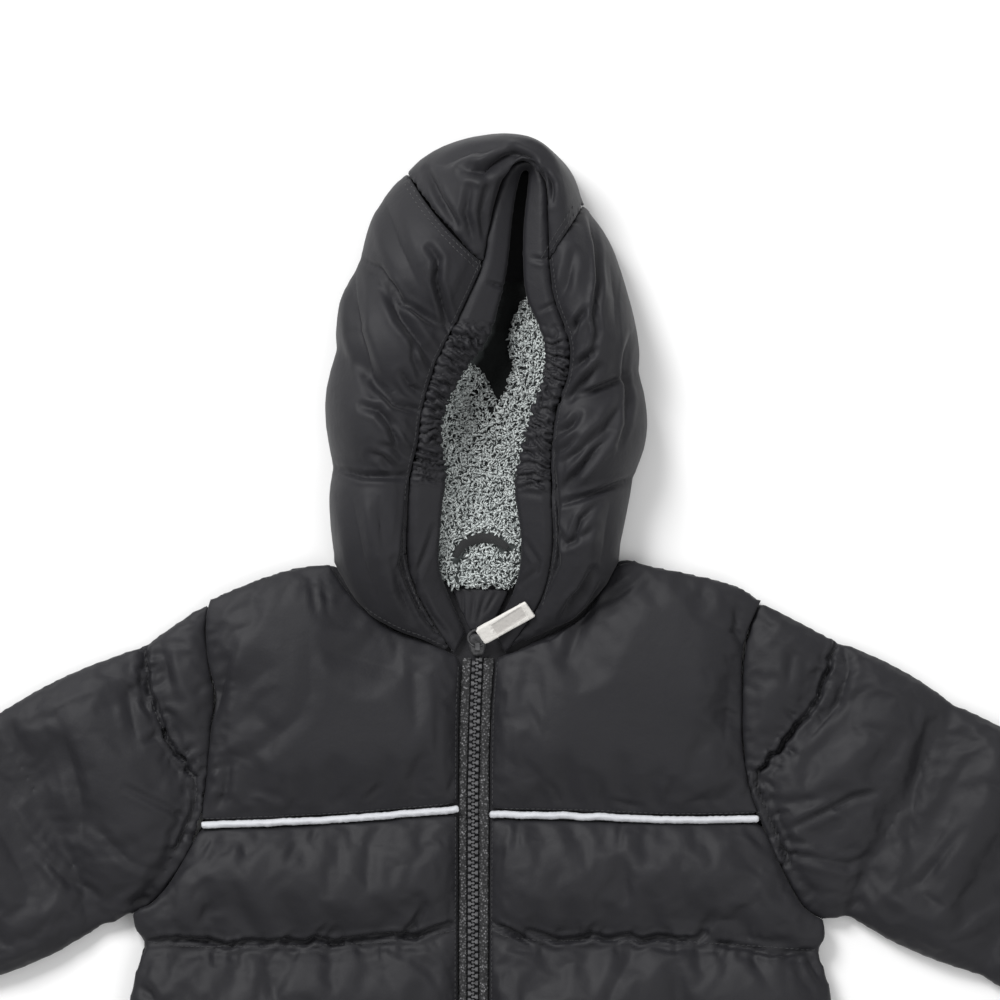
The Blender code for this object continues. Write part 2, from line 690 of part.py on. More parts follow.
def bake_modifiers(piece):
    bpy.context.view_layer.update()
    graph = bpy.context.evaluated_depsgraph_get()
    mesh = bpy.data.meshes.new_from_object(piece.evaluated_get(graph))
    piece.modifiers.clear()
    piece.data = mesh


def make_pull():
    """Pull ring and woven strap, which swing about the slider's bridge."""
    hinge = bpy.data.objects.new("pull_hinge", None)
    hinge.location = Vector((SLIDER.x, SLIDER.y, PULL_AXIS_Z)) * MM
    JACKET.objects.link(hinge)
    tilt = math.radians(PULL_TILT)

    bpy.ops.mesh.primitive_torus_add(
        major_segments=24, minor_segments=8,
        major_radius=RING_RADIUS * MM, minor_radius=RING_WIRE * MM)
    ring = bpy.context.object
    ring.name = "pull_ring"
    place_on_hinge(ring, hinge, Vector((0.0, RING_RADIUS, 0.0)), tilt, 0.0)
    ring.data.materials.append(METAL)
    ring.data.shade_smooth()

    heading = math.radians(STRAP_HEADING)
    forward = Vector((math.cos(heading), math.sin(heading)))
    start = Vector((0.0, RING_RADIUS)) + forward * (RING_RADIUS - 3.4)
    half = STRAP_WIDTH / 2
    sections = [(0.0, 1.5, 0.90), (1.2, 1.75, 0.98), (6.0, 1.75, 1.0), (10.0, 1.2, 1.0),
                (STRAP_LENGTH - 1.0, 1.15, 1.0), (STRAP_LENGTH, 0.9, 0.98)]
    points = []
    for run, thick, wide in sections:
        for s, z in ((-half, -0.6), (-half, 0.6), (-half + 0.6, 1.0), (half - 0.6, 1.0),
                     (half, 0.6), (half, -0.6), (half - 0.6, -1.0), (-half + 0.6, -1.0)):
            points.append((run, s * wide, z * thick))
    faces = [tuple(range(8)), tuple(range(len(points) - 8, len(points)))]
    for j in range(len(sections) - 1):
        for i in range(8):
            a, b = j * 8 + i, j * 8 + (i + 1) % 8
            faces.append((a, b, b + 8, a + 8))
    strap = add_piece("pull_strap", points, faces, STRAP, rounded=False)
    place_on_hinge(strap, hinge, Vector((start.x, start.y, 0.0)), tilt, heading)

    bpy.ops.mesh.primitive_torus_add(
        major_segments=24, minor_segments=8,
        major_radius=RING_RADIUS * MM, minor_radius=(RING_WIRE + 0.32) * MM)
    channel = bpy.context.object
    channel.name = "ring_channel"
    place_on_hinge(channel, hinge, Vector((0.0, RING_RADIUS, 0.0)), tilt, 0.0)
    channel.hide_render = True
    channel.display_type = "WIRE"
    for home in list(channel.users_collection):
        home.objects.unlink(channel)
    CUTTERS.objects.link(channel)
    cut = strap.modifiers.new("ring_way", "BOOLEAN")
    cut.operation = "DIFFERENCE"
    cut.object = channel


def place_on_hinge(piece, hinge, offset, tilt, heading):
    """Parent a piece to the hinge, lying in the pull's tilted plane."""
    for home in list(piece.users_collection):
        home.objects.unlink(piece)
    JACKET.objects.link(piece)
    piece.parent = hinge
    piece.rotation_mode = "ZYX"
    lifted = Vector((offset.x, offset.y * math.cos(tilt), offset.y * math.sin(tilt)))
    piece.location = lifted * MM
    piece.rotation_euler = (tilt, 0.0, heading)


# --- Hood ---

def hood_row(r):
    """A row of HOOD_ROWS read at any place between its rows."""
    packed = [Vector((*a, *b, *c, rim, sag)) for a, b, c, rim, sag in HOOD_ROWS]
    v = through(packed, r)
    return Vector(v[0:2]), Vector(v[2:4]), Vector(v[4:6]), v[6], v[7]


def hood_swell(r):
    for a, b in zip(HOOD_QUILTS, HOOD_QUILTS[1:]):
        if a <= r <= b:
            return swell((r - a) / (b - a))
    return 0.0


def tongue_point(outline, centre):
    """Where a row's underside meets the strip along the middle of the hood's back."""
    if centre:
        share = (outline.x - HOOD_ROWS[HOOD_CENTRE[0]][2][0])
        share /= HOOD_ROWS[HOOD_CENTRE[1]][2][0] - HOOD_ROWS[HOOD_CENTRE[0]][2][0]
        return Vector((TONGUE_LEFT + (TONGUE_RIGHT - TONGUE_LEFT) * share, TONGUE_TOP))
    x = TONGUE_LEFT - GAP if outline.x < 13.0 else TONGUE_RIGHT + GAP
    return Vector((x, min(max(outline.y, NAPE_Y), TONGUE_TOP)))


def hood_section(r, centre):
    """Base points and puff of one hood row: over the top, round the outline, underneath."""
    _, casing, outline, rim, sag = hood_row(r)
    row = (None, casing, outline, rim, sag)
    top_steps = 9
    ws = [math.sin(math.pi / 2 * k / top_steps) for k in range(top_steps + 1)]
    plan = neck_curve(row, ws)
    rise = min(1.0, (rim - 13.0) / 24.0)
    edge_z = 10.5 + (HOOD_EDGE_Z - 10.5) * rise
    arch = 7.0 * rise
    base, puffs = [], []
    for w, p in zip(ws, plan):
        z = edge_z + (rim - edge_z) * max(0.0, 1 - w**2.4) ** 0.5
        z += arch * math.sin(math.pi * w) * (1 - 0.4 * w)
        base.append(Vector((p.x, p.y, z)))
        puffs.append((HOOD_PUFF * math.sin(math.pi * w**0.8) ** 0.8 if w < 1 else 0.0) + 2.2 * w**4)
    seam = tongue_point(outline, centre)
    inward = (seam - outline)
    reach = inward.length
    inward.normalize()
    for step, z, puff in ((0.07, edge_z * 0.42, 1.6), (0.3, 0.0, 0.0)):
        p = outline + inward * min(step * 26.0, reach * 0.8)
        base.append(Vector((p.x, p.y, z)))
        puffs.append(puff)
    base.append(Vector((*seam, 0.0)))
    puffs.append(0.0)
    if centre:
        base.append(Vector((seam.x, NAPE_Y, 0.0)))
        puffs.append(0.0)
    return base, puffs


def make_hood_panel(name, span, centre=False):
    first, last = span
    steps = 3
    stations = [first + k / steps for k in range((last - first) * steps + 1)]
    trim = 0.012
    stations[0] += trim if first > 0 else 0.0
    stations[-1] -= trim if last < len(HOOD_ROWS) - 1 else 0.0
    grid, puff_grid = [], []
    for r in stations:
        base, puffs = hood_section(r, centre)
        share = hood_swell(min(max(r, first), last))
        grid.append(base)
        puff_grid.append([p * share for p in puffs])
    away = normals(grid)
    middle = Vector((13.0, 240.0, 20.0))
    sample = grid[len(grid) // 2][4]
    if away[len(grid) // 2][4].dot(sample - middle) < 0:
        away = [[-n for n in row] for row in away]
    outer, inner = [], []
    top_count = 10
    for j, (base, puffs, lines) in enumerate(zip(grid, puff_grid, away)):
        outer_row, inner_row = [], []
        for k, (p, puff, n) in enumerate(zip(base, puffs, lines)):
            if k < top_count + 1:
                out = p + n * puff
                n = Vector((0.0, 0.0, 1.0)) if k == 0 or first == 0 and j == 0 else n
                into = p - n * HOOD_SEAM_WALL
                into.z = max(into.z, HOOD_FLOOR_WALL)
            else:
                out = p
                into = Vector((p.x, p.y, HOOD_FLOOR_WALL))
            outer_row.append(out)
            inner_row.append(into)
        outer.append(outer_row)
        inner.append(inner_row)
    wall(name, outer, inner, SHELL)


def ruche(r):
    """Height of the gathers of the casing at a row, none outside the elastic."""
    for first, last in RUCHE_SPANS:
        if first < r < last:
            fade = min(1.0, (r - first) / 0.4, (last - r) / 0.4)
            return RUCHE_DEPTH * fade * math.sin(math.tau * RUCHE_WAVES * (r - first))
    return 0.0


def make_casing():
    """Band round the face opening, gathered along its elastic."""
    stations = []
    r = 0.03
    end = len(HOOD_ROWS) - 1.03
    while r < end:
        stations.append(r)
        gathered = any(first < r < last for first, last in RUCHE_SPANS)
        r += 1 / (RUCHE_WAVES * 4) if gathered else 1 / 3
    stations.append(end)
    rings = []
    for r in stations:
        inner, outer, _, rim, _ = hood_row(r)
        run = (inner - outer).normalized()
        outer = outer + run * 1.7 * GAP
        wave = ruche(r)
        drop = CASING_DROP * min(1.0, (rim - 11.0) / 14.0)
        low = rim - CASING_THICK
        ring = []
        for share, z in ((0.0, rim - 1.0), (0.25, rim + 0.6 + wave), (0.6, rim - 0.35 * drop + wave),
                         (0.9, rim - 0.8 * drop + 0.5 * wave), (1.0, rim - drop - 0.45 * CASING_THICK)):
            p = blend(outer, inner + run * 0.5 * wave, share)
            ring.append(Vector((p.x, p.y, z)))
        for share, z in ((0.85, low - 0.8 * drop), (0.4, low - 0.3 * drop), (0.0, low)):
            p = blend(outer, inner, share)
            ring.append(Vector((p.x, p.y, max(z, FRONT_FLOOR + 0.4))))
        rings.append(ring)
    size = len(rings[0])
    points = [p for ring in rings for p in ring]
    faces = [tuple(range(size)), tuple(range(len(points) - size, len(points)))]
    for j in range(len(rings) - 1):
        for i in range(size):
            a, b = j * size + i, j * size + (i + 1) % size
            faces.append((a, b, b + size, a + size))
    add_piece("hood_casing", points, faces, SHELL)


def lining_surface(row, s):
    """Top of the lining across one row, s from -1 at its left rim to 1 at its right."""
    y, left, right, rim, valley_x, valley_z = row
    end = left if s < 0 else right
    x = valley_x + (end - valley_x) * abs(s)
    z = valley_z + (rim - valley_z) * abs(s) ** 1.5
    return Vector((x, y, z))


def make_lining():
    rows = [Vector(row) for row in LINING_ROWS]
    stations = [k / 2 for k in range(2 * (len(rows) - 1) + 1)]
    across = [-1 + k / 4 for k in range(9)]
    top = [[lining_surface(through(rows, t), s) for s in across] for t in stations]
    away = normals(top)
    under = []
    for points, lines in zip(top, away):
        low = []
        for p, n in zip(points, lines):
            n = n if n.z > 0 else -n
            shifted_point = p - n * LINING_THICK
            shifted_point.z = max(shifted_point.z, FRONT_FLOOR + 0.2)
            low.append(Vector((shifted_point.x, p.y, shifted_point.z)))
        under.append(low)
    wall("hood_lining", top, under, SHERPA)


def lining_height(x, y):
    """Height of the lining's top at a plan point over its lower part."""
    rows = [Vector(row) for row in LINING_ROWS]
    steps = [k / 8 for k in range(8 * (len(rows) - 1) + 1)]
    row = min((through(rows, t) for t in steps), key=lambda v: abs(v[0] - y))
    _, left, right, rim, valley_x, valley_z = row
    s = (x - valley_x) / ((right - valley_x) if x > valley_x else (valley_x - left))
    return valley_z + (rim - valley_z) * min(1.0, abs(s)) ** 1.5


def make_loop():
    """Hanging loop: a flat tape lying in an arc on the lining over the nape."""
    plan = [(-10.4, 142.5), (-7.5, 148.0), (-2.0, 152.0), (5.5, 153.6), (13.0, 152.0), (19.0, 147.6)]
    line = smooth(plan, spaced(14))
    rings = []
    for k, p in enumerate(line):
        run = (line[min(k + 1, 14)] - line[max(k - 1, 0)]).normalized()
        side = Vector((-run.y, run.x))
        width = 2.9 * swell(0.12 + 0.76 * k / 14, 0.5)
        ring = []
        for s, z in ((-1, 0.0), (-1, 0.9), (0, 1.5), (1, 0.9), (1, 0.0)):
            q = p + side * width * s
            ground = max(lining_height(*(p + side * width * e)) for e in (-1, 0, 1))
            ring.append(Vector((q.x, q.y, ground + 0.9 + z)))
        rings.append(ring)
    points = [p for ring in rings for p in ring]
    faces = [tuple(range(5)), tuple(range(len(points) - 5, len(points)))]
    for j in range(len(rings) - 1):
        for i in range(5):
            a, b = j * 5 + i, j * 5 + (i + 1) % 5
            faces.append((a, b, b + 5, a + 5))
    add_piece("hanging_loop", points, faces, TAPE)


def make_wind_flap():
    """Flap behind the top of the zip, seen in the gap below the lining."""
    left = smooth([(-2.6, 102), (-7, 112), (-12.6, 125.6)], spaced(6))
    right = smooth([(8.3, 102), (14, 112), (19.8, 124.6)], spaced(6))
    grid = []
    for a, b in zip(left, right):
        row = []
        for t in spaced(4):
            p = blend(a, b, t)
            row.append(Vector((p.x, p.y, 11.2 + 0.8 * swell(t, 1.0))))
        grid.append(row)
    slab("wind_flap", grid, FRONT_FLOOR + 0.2, SHELL)


for old in list(bpy.data.objects):
    bpy.data.objects.remove(old)

JACKET = bpy.data.collections.new("padded_jacket")
CUTTERS = bpy.data.collections.new("cutters")
bpy.context.scene.collection.children.link(JACKET)
bpy.context.scene.collection.children.link(CUTTERS)

SHELL = material("shell_cloth", SHELL_COLOUR, 0.62)
PIPING = material("piping", PIPING_COLOUR, 0.6)
SHERPA = material("sherpa", SHERPA_COLOUR, 0.95)
TAPE = material("zip_tape", TAPE_COLOUR, 0.85)
TOOTH = material("zip_teeth", TOOTH_COLOUR, 0.35)
METAL = material("slider_metal", SLIDER_COLOUR, 0.35, 0.8)
STRAP = material("pull_strap", STRAP_COLOUR, 0.8)

make_back()
make_front("left", ARMHOLE_LEFT, ARMHOLE_LEFT_LOWER, UNDERARM_LEFT, SHOULDER_LEFT,
           PIPING_LEFT, QUILTS_LEFT, HOOD_ROWS[0], 0.4)
make_front("right", ARMHOLE_RIGHT, ARMHOLE_RIGHT_LOWER, UNDERARM_RIGHT, SHOULDER_RIGHT,
           PIPING_RIGHT, QUILTS_RIGHT, HOOD_ROWS[-1], 2.1)
make_sleeve("left")
make_sleeve("right")
make_zip()
make_slider()
make_pull()
make_hood_panel("hood_side_left", HOOD_LEFT)
make_hood_panel("hood_centre", HOOD_CENTRE, centre=True)
make_hood_panel("hood_side_right", HOOD_RIGHT)
make_casing()
make_lining()
make_loop()
make_wind_flap()
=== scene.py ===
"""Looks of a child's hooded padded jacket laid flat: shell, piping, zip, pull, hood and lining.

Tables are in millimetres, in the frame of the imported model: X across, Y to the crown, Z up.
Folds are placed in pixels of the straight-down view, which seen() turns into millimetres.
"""

import math
import random

import bmesh
import bpy
import numpy as np
from mathutils import Matrix, Vector, kdtree, noise
from mathutils.bvhtree import BVHTree


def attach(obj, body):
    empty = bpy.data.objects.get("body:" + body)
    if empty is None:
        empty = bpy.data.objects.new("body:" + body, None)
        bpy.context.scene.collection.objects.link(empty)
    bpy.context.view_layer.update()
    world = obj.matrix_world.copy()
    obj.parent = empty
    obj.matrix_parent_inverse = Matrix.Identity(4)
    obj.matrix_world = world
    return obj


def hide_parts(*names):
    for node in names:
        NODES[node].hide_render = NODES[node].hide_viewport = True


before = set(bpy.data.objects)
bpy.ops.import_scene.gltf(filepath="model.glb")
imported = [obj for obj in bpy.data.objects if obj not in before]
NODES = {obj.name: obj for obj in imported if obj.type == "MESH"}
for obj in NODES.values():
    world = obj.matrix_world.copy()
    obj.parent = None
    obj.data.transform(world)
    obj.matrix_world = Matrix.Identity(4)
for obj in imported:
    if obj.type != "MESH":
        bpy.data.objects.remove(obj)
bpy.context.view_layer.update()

MM = 0.001
PIXEL = 0.56
VIEW_PIXELS = 1000
MIDDLE_OF_HOOD = np.array((13.0, 240.0, 20.0)) * MM

# Seams and quilt lines of the body in plan (x, y)
PIPING_LEFT = [(-152, -7), (-100, -5), (-60, -2.5), (-8.8, 2)]
PIPING_RIGHT = [(159, -3.5), (110, -4), (60, -2), (9, -1)]
QUILTS_LEFT = [
    [(-184, -72), (-150, -75), (-70, -73.5), (-40, -71), (-9, -65.5)],
    [(-190, -141), (-130, -145), (-60, -144), (-9, -139)],
    [(-193, -213), (-130, -217), (-60, -216), (-9.2, -213)],
]
QUILTS_RIGHT = [
    [(192.6, -77), (150, -74), (109, -72), (27, -70.6), (8.6, -63)],
    [(198, -143), (130, -146), (60, -144), (8.4, -139)],
    [(200, -214), (130, -217), (60, -216), (8.3, -213)],
]
ARMHOLE_LEFT = [
    (-147, 120), (-149.8, 108), (-149, 87), (-144.5, 65), (-147, 46), (-149.6, 18), (-152, 2),
    (-154.3, -11), (-163, -27.7), (-172.5, -42.6), (-181, -51), (-191, -56.6),
]
ARMHOLE_RIGHT = [
    (160.7, 119.3), (153.4, 102.5), (150, 88), (149.8, 62), (149.8, 40), (153, 18), (159, -1),
    (164, -13.4), (172, -31), (183.7, -52), (195.4, -60),
]
CUFFWARD_LEFT = [(-185, 94), (-180, 62), (-170, 40), (-155.5, 17), (-158, 0), (-167, -21)]
CUFFWARD_RIGHT = [(203, 97), (192, 66), (176, 42), (158.5, 20), (164.5, -2), (177, -28)]
NECK_LEFT = [(-81, 139), (-72, 125), (-60, 112), (-43, 102), (-27, 96), (-10, 87.5)]
NECK_RIGHT = [(81, 141), (72, 124), (65, 113.7), (46, 98), (36, 94.6), (23.5, 90), (17, 88)]
HOOD_SEAM_LEFT = [(4.9, 306), (-7, 317), (-18, 329), (-28, 342), (-37.5, 357.5)]
HOOD_SEAM_RIGHT = [(42, 308), (46, 315), (51, 323), (56, 331), (61.5, 340)]
HOOD_EDGE_LEFT = [
    (-10.8, 88.4), (-28, 115), (-37, 140), (-37, 168), (-35.3, 189.3), (-31, 208.3), (-29.1, 224),
    (-22, 249), (-11.8, 269.9), (-2.2, 290.1), (4.9, 306),
]
HOOD_EDGE_CENTRE = [
    (4.9, 306), (7.5, 321.5), (11, 338.2), (16.5, 354.5), (24, 362.5), (34.6, 362), (40.3, 350),
    (41.5, 329.4), (42, 308),
]
HOOD_EDGE_RIGHT = [
    (42, 308), (45, 286.7), (53, 263.5), (52.5, 244.7), (46.5, 226.2), (43.1, 201), (43.2, 176),
    (44, 147), (37, 117.6), (17.2, 88.6),
]
# The middle of the casing from the left end of the neck over the crown, its gathered runs
CASING_LINE = [
    (-7.6, 94.6), (-21.5, 120.2), (-28, 140.5), (-27.2, 168), (-25.2, 189.3), (-24.5, 208.6),
    (-22.4, 224.8), (-13.5, 247.7), (-1.4, 268), (6.7, 289), (12, 305.3), (14.1, 320.9),
    (16.7, 337.6), (20.9, 353.2), (25.8, 360), (32.4, 359.9), (35, 349.7), (34.5, 329),
    (34.4, 308), (37, 286.7), (45.5, 264.8), (45.9, 245), (39.5, 225.7), (34.7, 201.9),
    (32.8, 178), (35, 148.2), (29.4, 121), (13.6, 94.7),
]
GATHERED = [(182.0, 276.0, -1), (178.0, 274.0, 1)]
LOOP_LINE = [(-10.4, 142.5), (-7.5, 148.0), (-2.0, 152.0), (5.5, 153.6), (13.0, 152.0), (19.0, 147.6)]
ZIP_CHAIN = [(1.8, 86.5), (0.6, 56.6), (-0.5, 15), (-0.6, -105), (-0.6, -276)]
PLACKET_LEFT = [(-6.9, 86.5), (-8.4, 56.6), (-8.7, 15), (-9, -105), (-9.3, -285)]
PLACKET_RIGHT = [(11.8, 86.5), (9.6, 56.6), (8.9, 15), (8.4, -105), (8.3, -285)]


# --- Materials ---

class Wire:
    """An output of a node; arithmetic on it adds Math nodes."""

    def __init__(self, finish, socket):
        self.finish = finish
        self.socket = socket

    def sum(self, operation, first, second):
        return self.finish.node("ShaderNodeMath", {"operation": operation}, {0: first, 1: second})

    def __add__(self, other):
        return self.sum("ADD", self, other)

    __radd__ = __add__

    def __sub__(self, other):
        return self.sum("SUBTRACT", self, other)

    def __rsub__(self, other):
        return self.sum("SUBTRACT", other, self)

    def __mul__(self, other):
        return self.sum("MULTIPLY", self, other)

    __rmul__ = __mul__

    def sine(self):
        return self.finish.node("ShaderNodeMath", {"operation": "SINE"}, {0: self})


class Finish:
    """A material: its Principled surface and the nodes that feed it."""

    def __init__(self, name, constants):
        self.material = bpy.data.materials.new(name)
        self.material.use_nodes = True
        self.tree = self.material.node_tree
        self.surface = self.tree.nodes["Principled BSDF"]
        for socket, value in constants.items():
            self.surface.inputs[socket].default_value = value

    def feed(self, socket, value):
        if isinstance(value, Wire):
            self.tree.links.new(value.socket, socket)
        else:
            socket.default_value = value

    def node(self, kind, settings=None, values=None, output=0):
        made = self.tree.nodes.new(kind)
        for key, value in (settings or {}).items():
            if key == "stops":
                ramp = made.color_ramp
                while len(ramp.elements) < len(value):
                    ramp.elements.new(0.5)
                for element, (place, colour) in zip(ramp.elements, value):
                    element.position = place
                    element.color = colour
            else:
                setattr(made, key, value)
        for key, value in (values or {}).items():
            self.feed(made.inputs[key], value)
        return Wire(self, made.outputs[output])

    def place(self):
        return self.node("ShaderNodeTexCoord", output="Object")

    def axis(self, name):
        return self.node("ShaderNodeSeparateXYZ", {}, {0: self.place()}, name)

    def grain(self, scale, detail=2.0, place=None, roughness=0.5):
        values = {"Vector": place or self.place(), "Scale": scale, "Detail": detail, "Roughness": roughness}
        return self.node("ShaderNodeTexNoise", {}, values)

    def stretched(self, factors):
        return self.node("ShaderNodeVectorMath", {"operation": "MULTIPLY"}, {0: self.place(), 1: factors})

    def held(self, value):
        """A value kept between 0 and 1."""
        return self.node("ShaderNodeMath", {"operation": "ADD", "use_clamp": True}, {0: value, 1: 0.0})

    def ramp(self, factor, stops):
        grey = [(place, (level, level, level, 1.0)) for place, level in stops]
        return self.node("ShaderNodeValToRGB", {"stops": grey}, {"Fac": factor})

    def mix(self, factor, first, second):
        settings = {"data_type": "RGBA"}
        return self.node("ShaderNodeMix", settings, {0: factor, 6: first, 7: second}, 2)

    def bump(self, height, distance, strength=1.0):
        values = {"Height": height, "Distance": distance, "Strength": strength}
        self.feed(self.surface.inputs["Normal"], self.node("ShaderNodeBump", {}, values))

    def set(self, socket, value):
        self.feed(self.surface.inputs[socket], value)


def tone(r, g, b):
    return (r, g, b, 1.0)


def shell_cloth(name, dark, light):
    """Peached polyamide shell: fine plain weave, soft sheen and a crumpled micro relief."""
    cloth = Finish(name, {"Roughness": 0.62, "Sheen Weight": 0.06, "Sheen Roughness": 0.45,
                          "Specular IOR Level": 0.34})
    broad = cloth.grain(16.0, 3.0)
    fine = cloth.grain(900.0, 2.0)
    cloth.set("Base Color", cloth.mix(broad * 0.75 + fine * 0.3 - 0.05, dark, light))
    cloth.set("Roughness", 0.55 + 0.12 * cloth.grain(60.0, 2.0))
    threads = ((cloth.axis("X") * 14000.0).sine() * (cloth.axis("Y") * 14000.0).sine())
    crumple = cloth.grain(95.0, 4.0, roughness=0.62)
    soft = cloth.grain(36.0, 2.0)
    cloth.bump(threads * 0.02 + crumple * 0.6 + soft * 0.9, 0.0011, 0.55)
    return cloth.material


def woven(name, dark, light, pitch, roughness, relief=0.00012):
    """Woven tape or piping with crossing ribs at the given pitch in metres."""
    cloth = Finish(name, {"Roughness": roughness, "Sheen Weight": 0.15, "Sheen Roughness": 0.5})
    turn = math.tau / pitch
    across = (cloth.axis("X") * turn).sine()
    lengthwise = (cloth.axis("Y") * turn).sine()
    ribs = across * lengthwise * 0.5 + 0.5
    worn = cloth.grain(140.0, 2.0)
    cloth.set("Base Color", cloth.mix(ribs * 0.6 + worn * 0.4, dark, light))
    cloth.bump(ribs + worn * 0.6, relief)
    return cloth.material


def speckled_tape():
    cloth = Finish("zip_tape_weave", {"Roughness": 0.8, "Sheen Weight": 0.1, "Sheen Roughness": 0.5})
    knots = cloth.node("ShaderNodeTexVoronoi", {},
                       {"Vector": cloth.place(), "Scale": 760.0, "Randomness": 0.95})
    flecks = cloth.ramp(knots, [(0.10, 1.0), (0.34, 0.22), (0.60, 0.0)])
    patches = cloth.grain(420.0, 2.0)
    amount = cloth.held(flecks * (patches * 2.6 - 0.75))
    cloth.set("Base Color", cloth.mix(amount, tone(0.009, 0.009, 0.010), tone(0.30, 0.30, 0.31)))
    cloth.bump(1.0 - knots, 0.0004, 1.0)
    return cloth.material


# Painted shade on the lining: it is coloured darker below this height, past this line, and again towards the
# crown
SHADE_TOP = 30.0 * MM
SHADE_LINE = 175.0 * MM
CROWN_SHADE_LINE = 268.0 * MM


def plush(name, dark, light, sheen, shade):
    """Fibres of the sherpa pile, with painted shade: coloured darker low in the hood's hollow and towards
    its crown.
    """
    cloth = Finish(name, {"Roughness": 0.9, "Sheen Weight": sheen, "Sheen Roughness": 0.6,
                          "Specular IOR Level": 0.15})
    # Painted shade: low in the hollow and past the crown line, the colour is mixed towards near black by
    # height and place
    low = cloth.held((SHADE_TOP - cloth.axis("Z")) * 85.0)
    deep = low * cloth.held((cloth.axis("Y") - SHADE_LINE) * 22.0)
    crown = cloth.held((cloth.axis("Y") - CROWN_SHADE_LINE) * 38.0)
    fibres = cloth.mix(cloth.grain(170.0, 3.0) * 1.5 - 0.25, dark, light)
    shaded = cloth.held(deep * shade + crown * 0.9)
    cloth.set("Base Color", cloth.mix(shaded, fibres, tone(0.003, 0.0035, 0.0035)))
    strands = cloth.grain(2600.0, 2.0, place=cloth.stretched((1.0, 0.35, 1.0)))
    cloth.bump(strands, 0.0004, 0.8)
    return cloth.material


def moulded(name, dark, light, roughness, metallic=0.0):
    """Moulded plastic or coated metal with fine scuffs."""
    hard = Finish(name, {"Metallic": metallic, "Coat Roughness": 0.25, "Specular IOR Level": 0.6})
    scuffs = hard.grain(380.0, 3.0)
    hard.set("Base Color", hard.mix(scuffs * 1.4 - 0.2, dark, light))
    hard.set("Roughness", roughness + 0.25 * scuffs)
    hard.bump(hard.grain(1500.0, 1.0), 0.00004)
    return hard.material


def thread(name, colour):
    yarn = Finish(name, {"Roughness": 0.7, "Sheen Weight": 0.2})
    twist = ((yarn.axis("X") + yarn.axis("Y")) * (math.tau / 0.0004)).sine() * 0.5 + 0.5
    yarn.set("Base Color", yarn.mix(twist * 0.5, colour, tone(*(c * 0.6 for c in colour[:3]))))
    yarn.bump(twist, 0.00006)
    return yarn.material


SHELL = shell_cloth("shell_cloth_woven", tone(0.0058, 0.0057, 0.0079), tone(0.0104, 0.0102, 0.0134))
PIPING = woven("piping_satin", tone(0.44, 0.45, 0.48), tone(0.66, 0.67, 0.70), 0.0009, 0.5)
TAPE = speckled_tape()
LOOP_TAPE = woven("loop_twill", tone(0.003, 0.0033, 0.0036), tone(0.010, 0.011, 0.012), 0.0010, 0.8)
STRAP = woven("strap_weave", tone(0.62, 0.60, 0.57), tone(0.86, 0.84, 0.80), 0.0008, 0.75, 0.00018)
STRAP_FIELD = woven("strap_field", tone(0.42, 0.40, 0.38), tone(0.62, 0.60, 0.57), 0.0008, 0.75, 0.00015)
# The last number is how strongly each takes the painted shade in plush(); the ground is a far darker copy of
# the pile, partly its own colour and partly painted shade of the gaps between curls
PILE = plush("sherpa_pile", tone(0.33, 0.37, 0.365), tone(0.82, 0.87, 0.855), 0.35, 0.42)
PILE_GROUND = plush("sherpa_ground_painted_shade", tone(0.040, 0.046, 0.046), tone(0.14, 0.155, 0.155), 0.0, 0.98)
TEETH = moulded("zip_teeth_moulded", tone(0.022, 0.022, 0.024), tone(0.13, 0.13, 0.135), 0.22)
METAL = moulded("slider_coated", tone(0.03, 0.03, 0.032), tone(0.16, 0.16, 0.165), 0.26, 0.75)
DARK_THREAD = thread("shell_thread", tone(0.016, 0.016, 0.019))
PALE_THREAD = thread("pale_thread", tone(0.75, 0.73, 0.70))


# --- Meshes ---

def baked(piece):
    """Applies all modifiers of a piece by swapping in its evaluated mesh."""
    bpy.context.view_layer.update()
    graph = bpy.context.evaluated_depsgraph_get()
    mesh = bpy.data.meshes.new_from_object(piece.evaluated_get(graph))
    piece.modifiers.clear()
    piece.data = mesh
    return piece


def solid_copy(node, name, finish, body="jacket"):
    """A merged copy of a CAD node's mesh as a piece of its own."""
    mesh = NODES[node].data.copy()
    mesh.name = name
    shape = bmesh.new()
    shape.from_mesh(mesh)
    bmesh.ops.remove_doubles(shape, verts=shape.verts, dist=0.00002)
    shape.to_mesh(mesh)
    shape.free()
    mesh.materials.clear()
    mesh.materials.append(finish)
    piece = bpy.data.objects.new(name, mesh)
    bpy.context.scene.collection.objects.link(piece)
    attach(piece, body)
    return piece


def unit_from(name, points, faces, smooth):
    """One small unit from points in millimetres, its faces turned outwards."""
    mesh = bpy.data.meshes.new(name)
    mesh.from_pydata([tuple(Vector(p) * MM) for p in points], [], faces)
    shape = bmesh.new()
    shape.from_mesh(mesh)
    bmesh.ops.recalc_face_normals(shape, faces=shape.faces)
    shape.to_mesh(mesh)
    shape.free()
    if smooth:
        mesh.shade_smooth()
    return bpy.data.objects.new(name, mesh)


def places(piece):
    flat = np.empty(len(piece.data.vertices) * 3)
    piece.data.vertices.foreach_get("co", flat)
    return flat.reshape(-1, 3)


def directions(piece):
    flat = np.empty(len(piece.data.vertices) * 3)
    piece.data.vertex_normals.foreach_get("vector", flat)
    return flat.reshape(-1, 3)


def settle(piece, points):
    piece.data.vertices.foreach_set("co", points.astype(np.float32).ravel())
    piece.data.update()


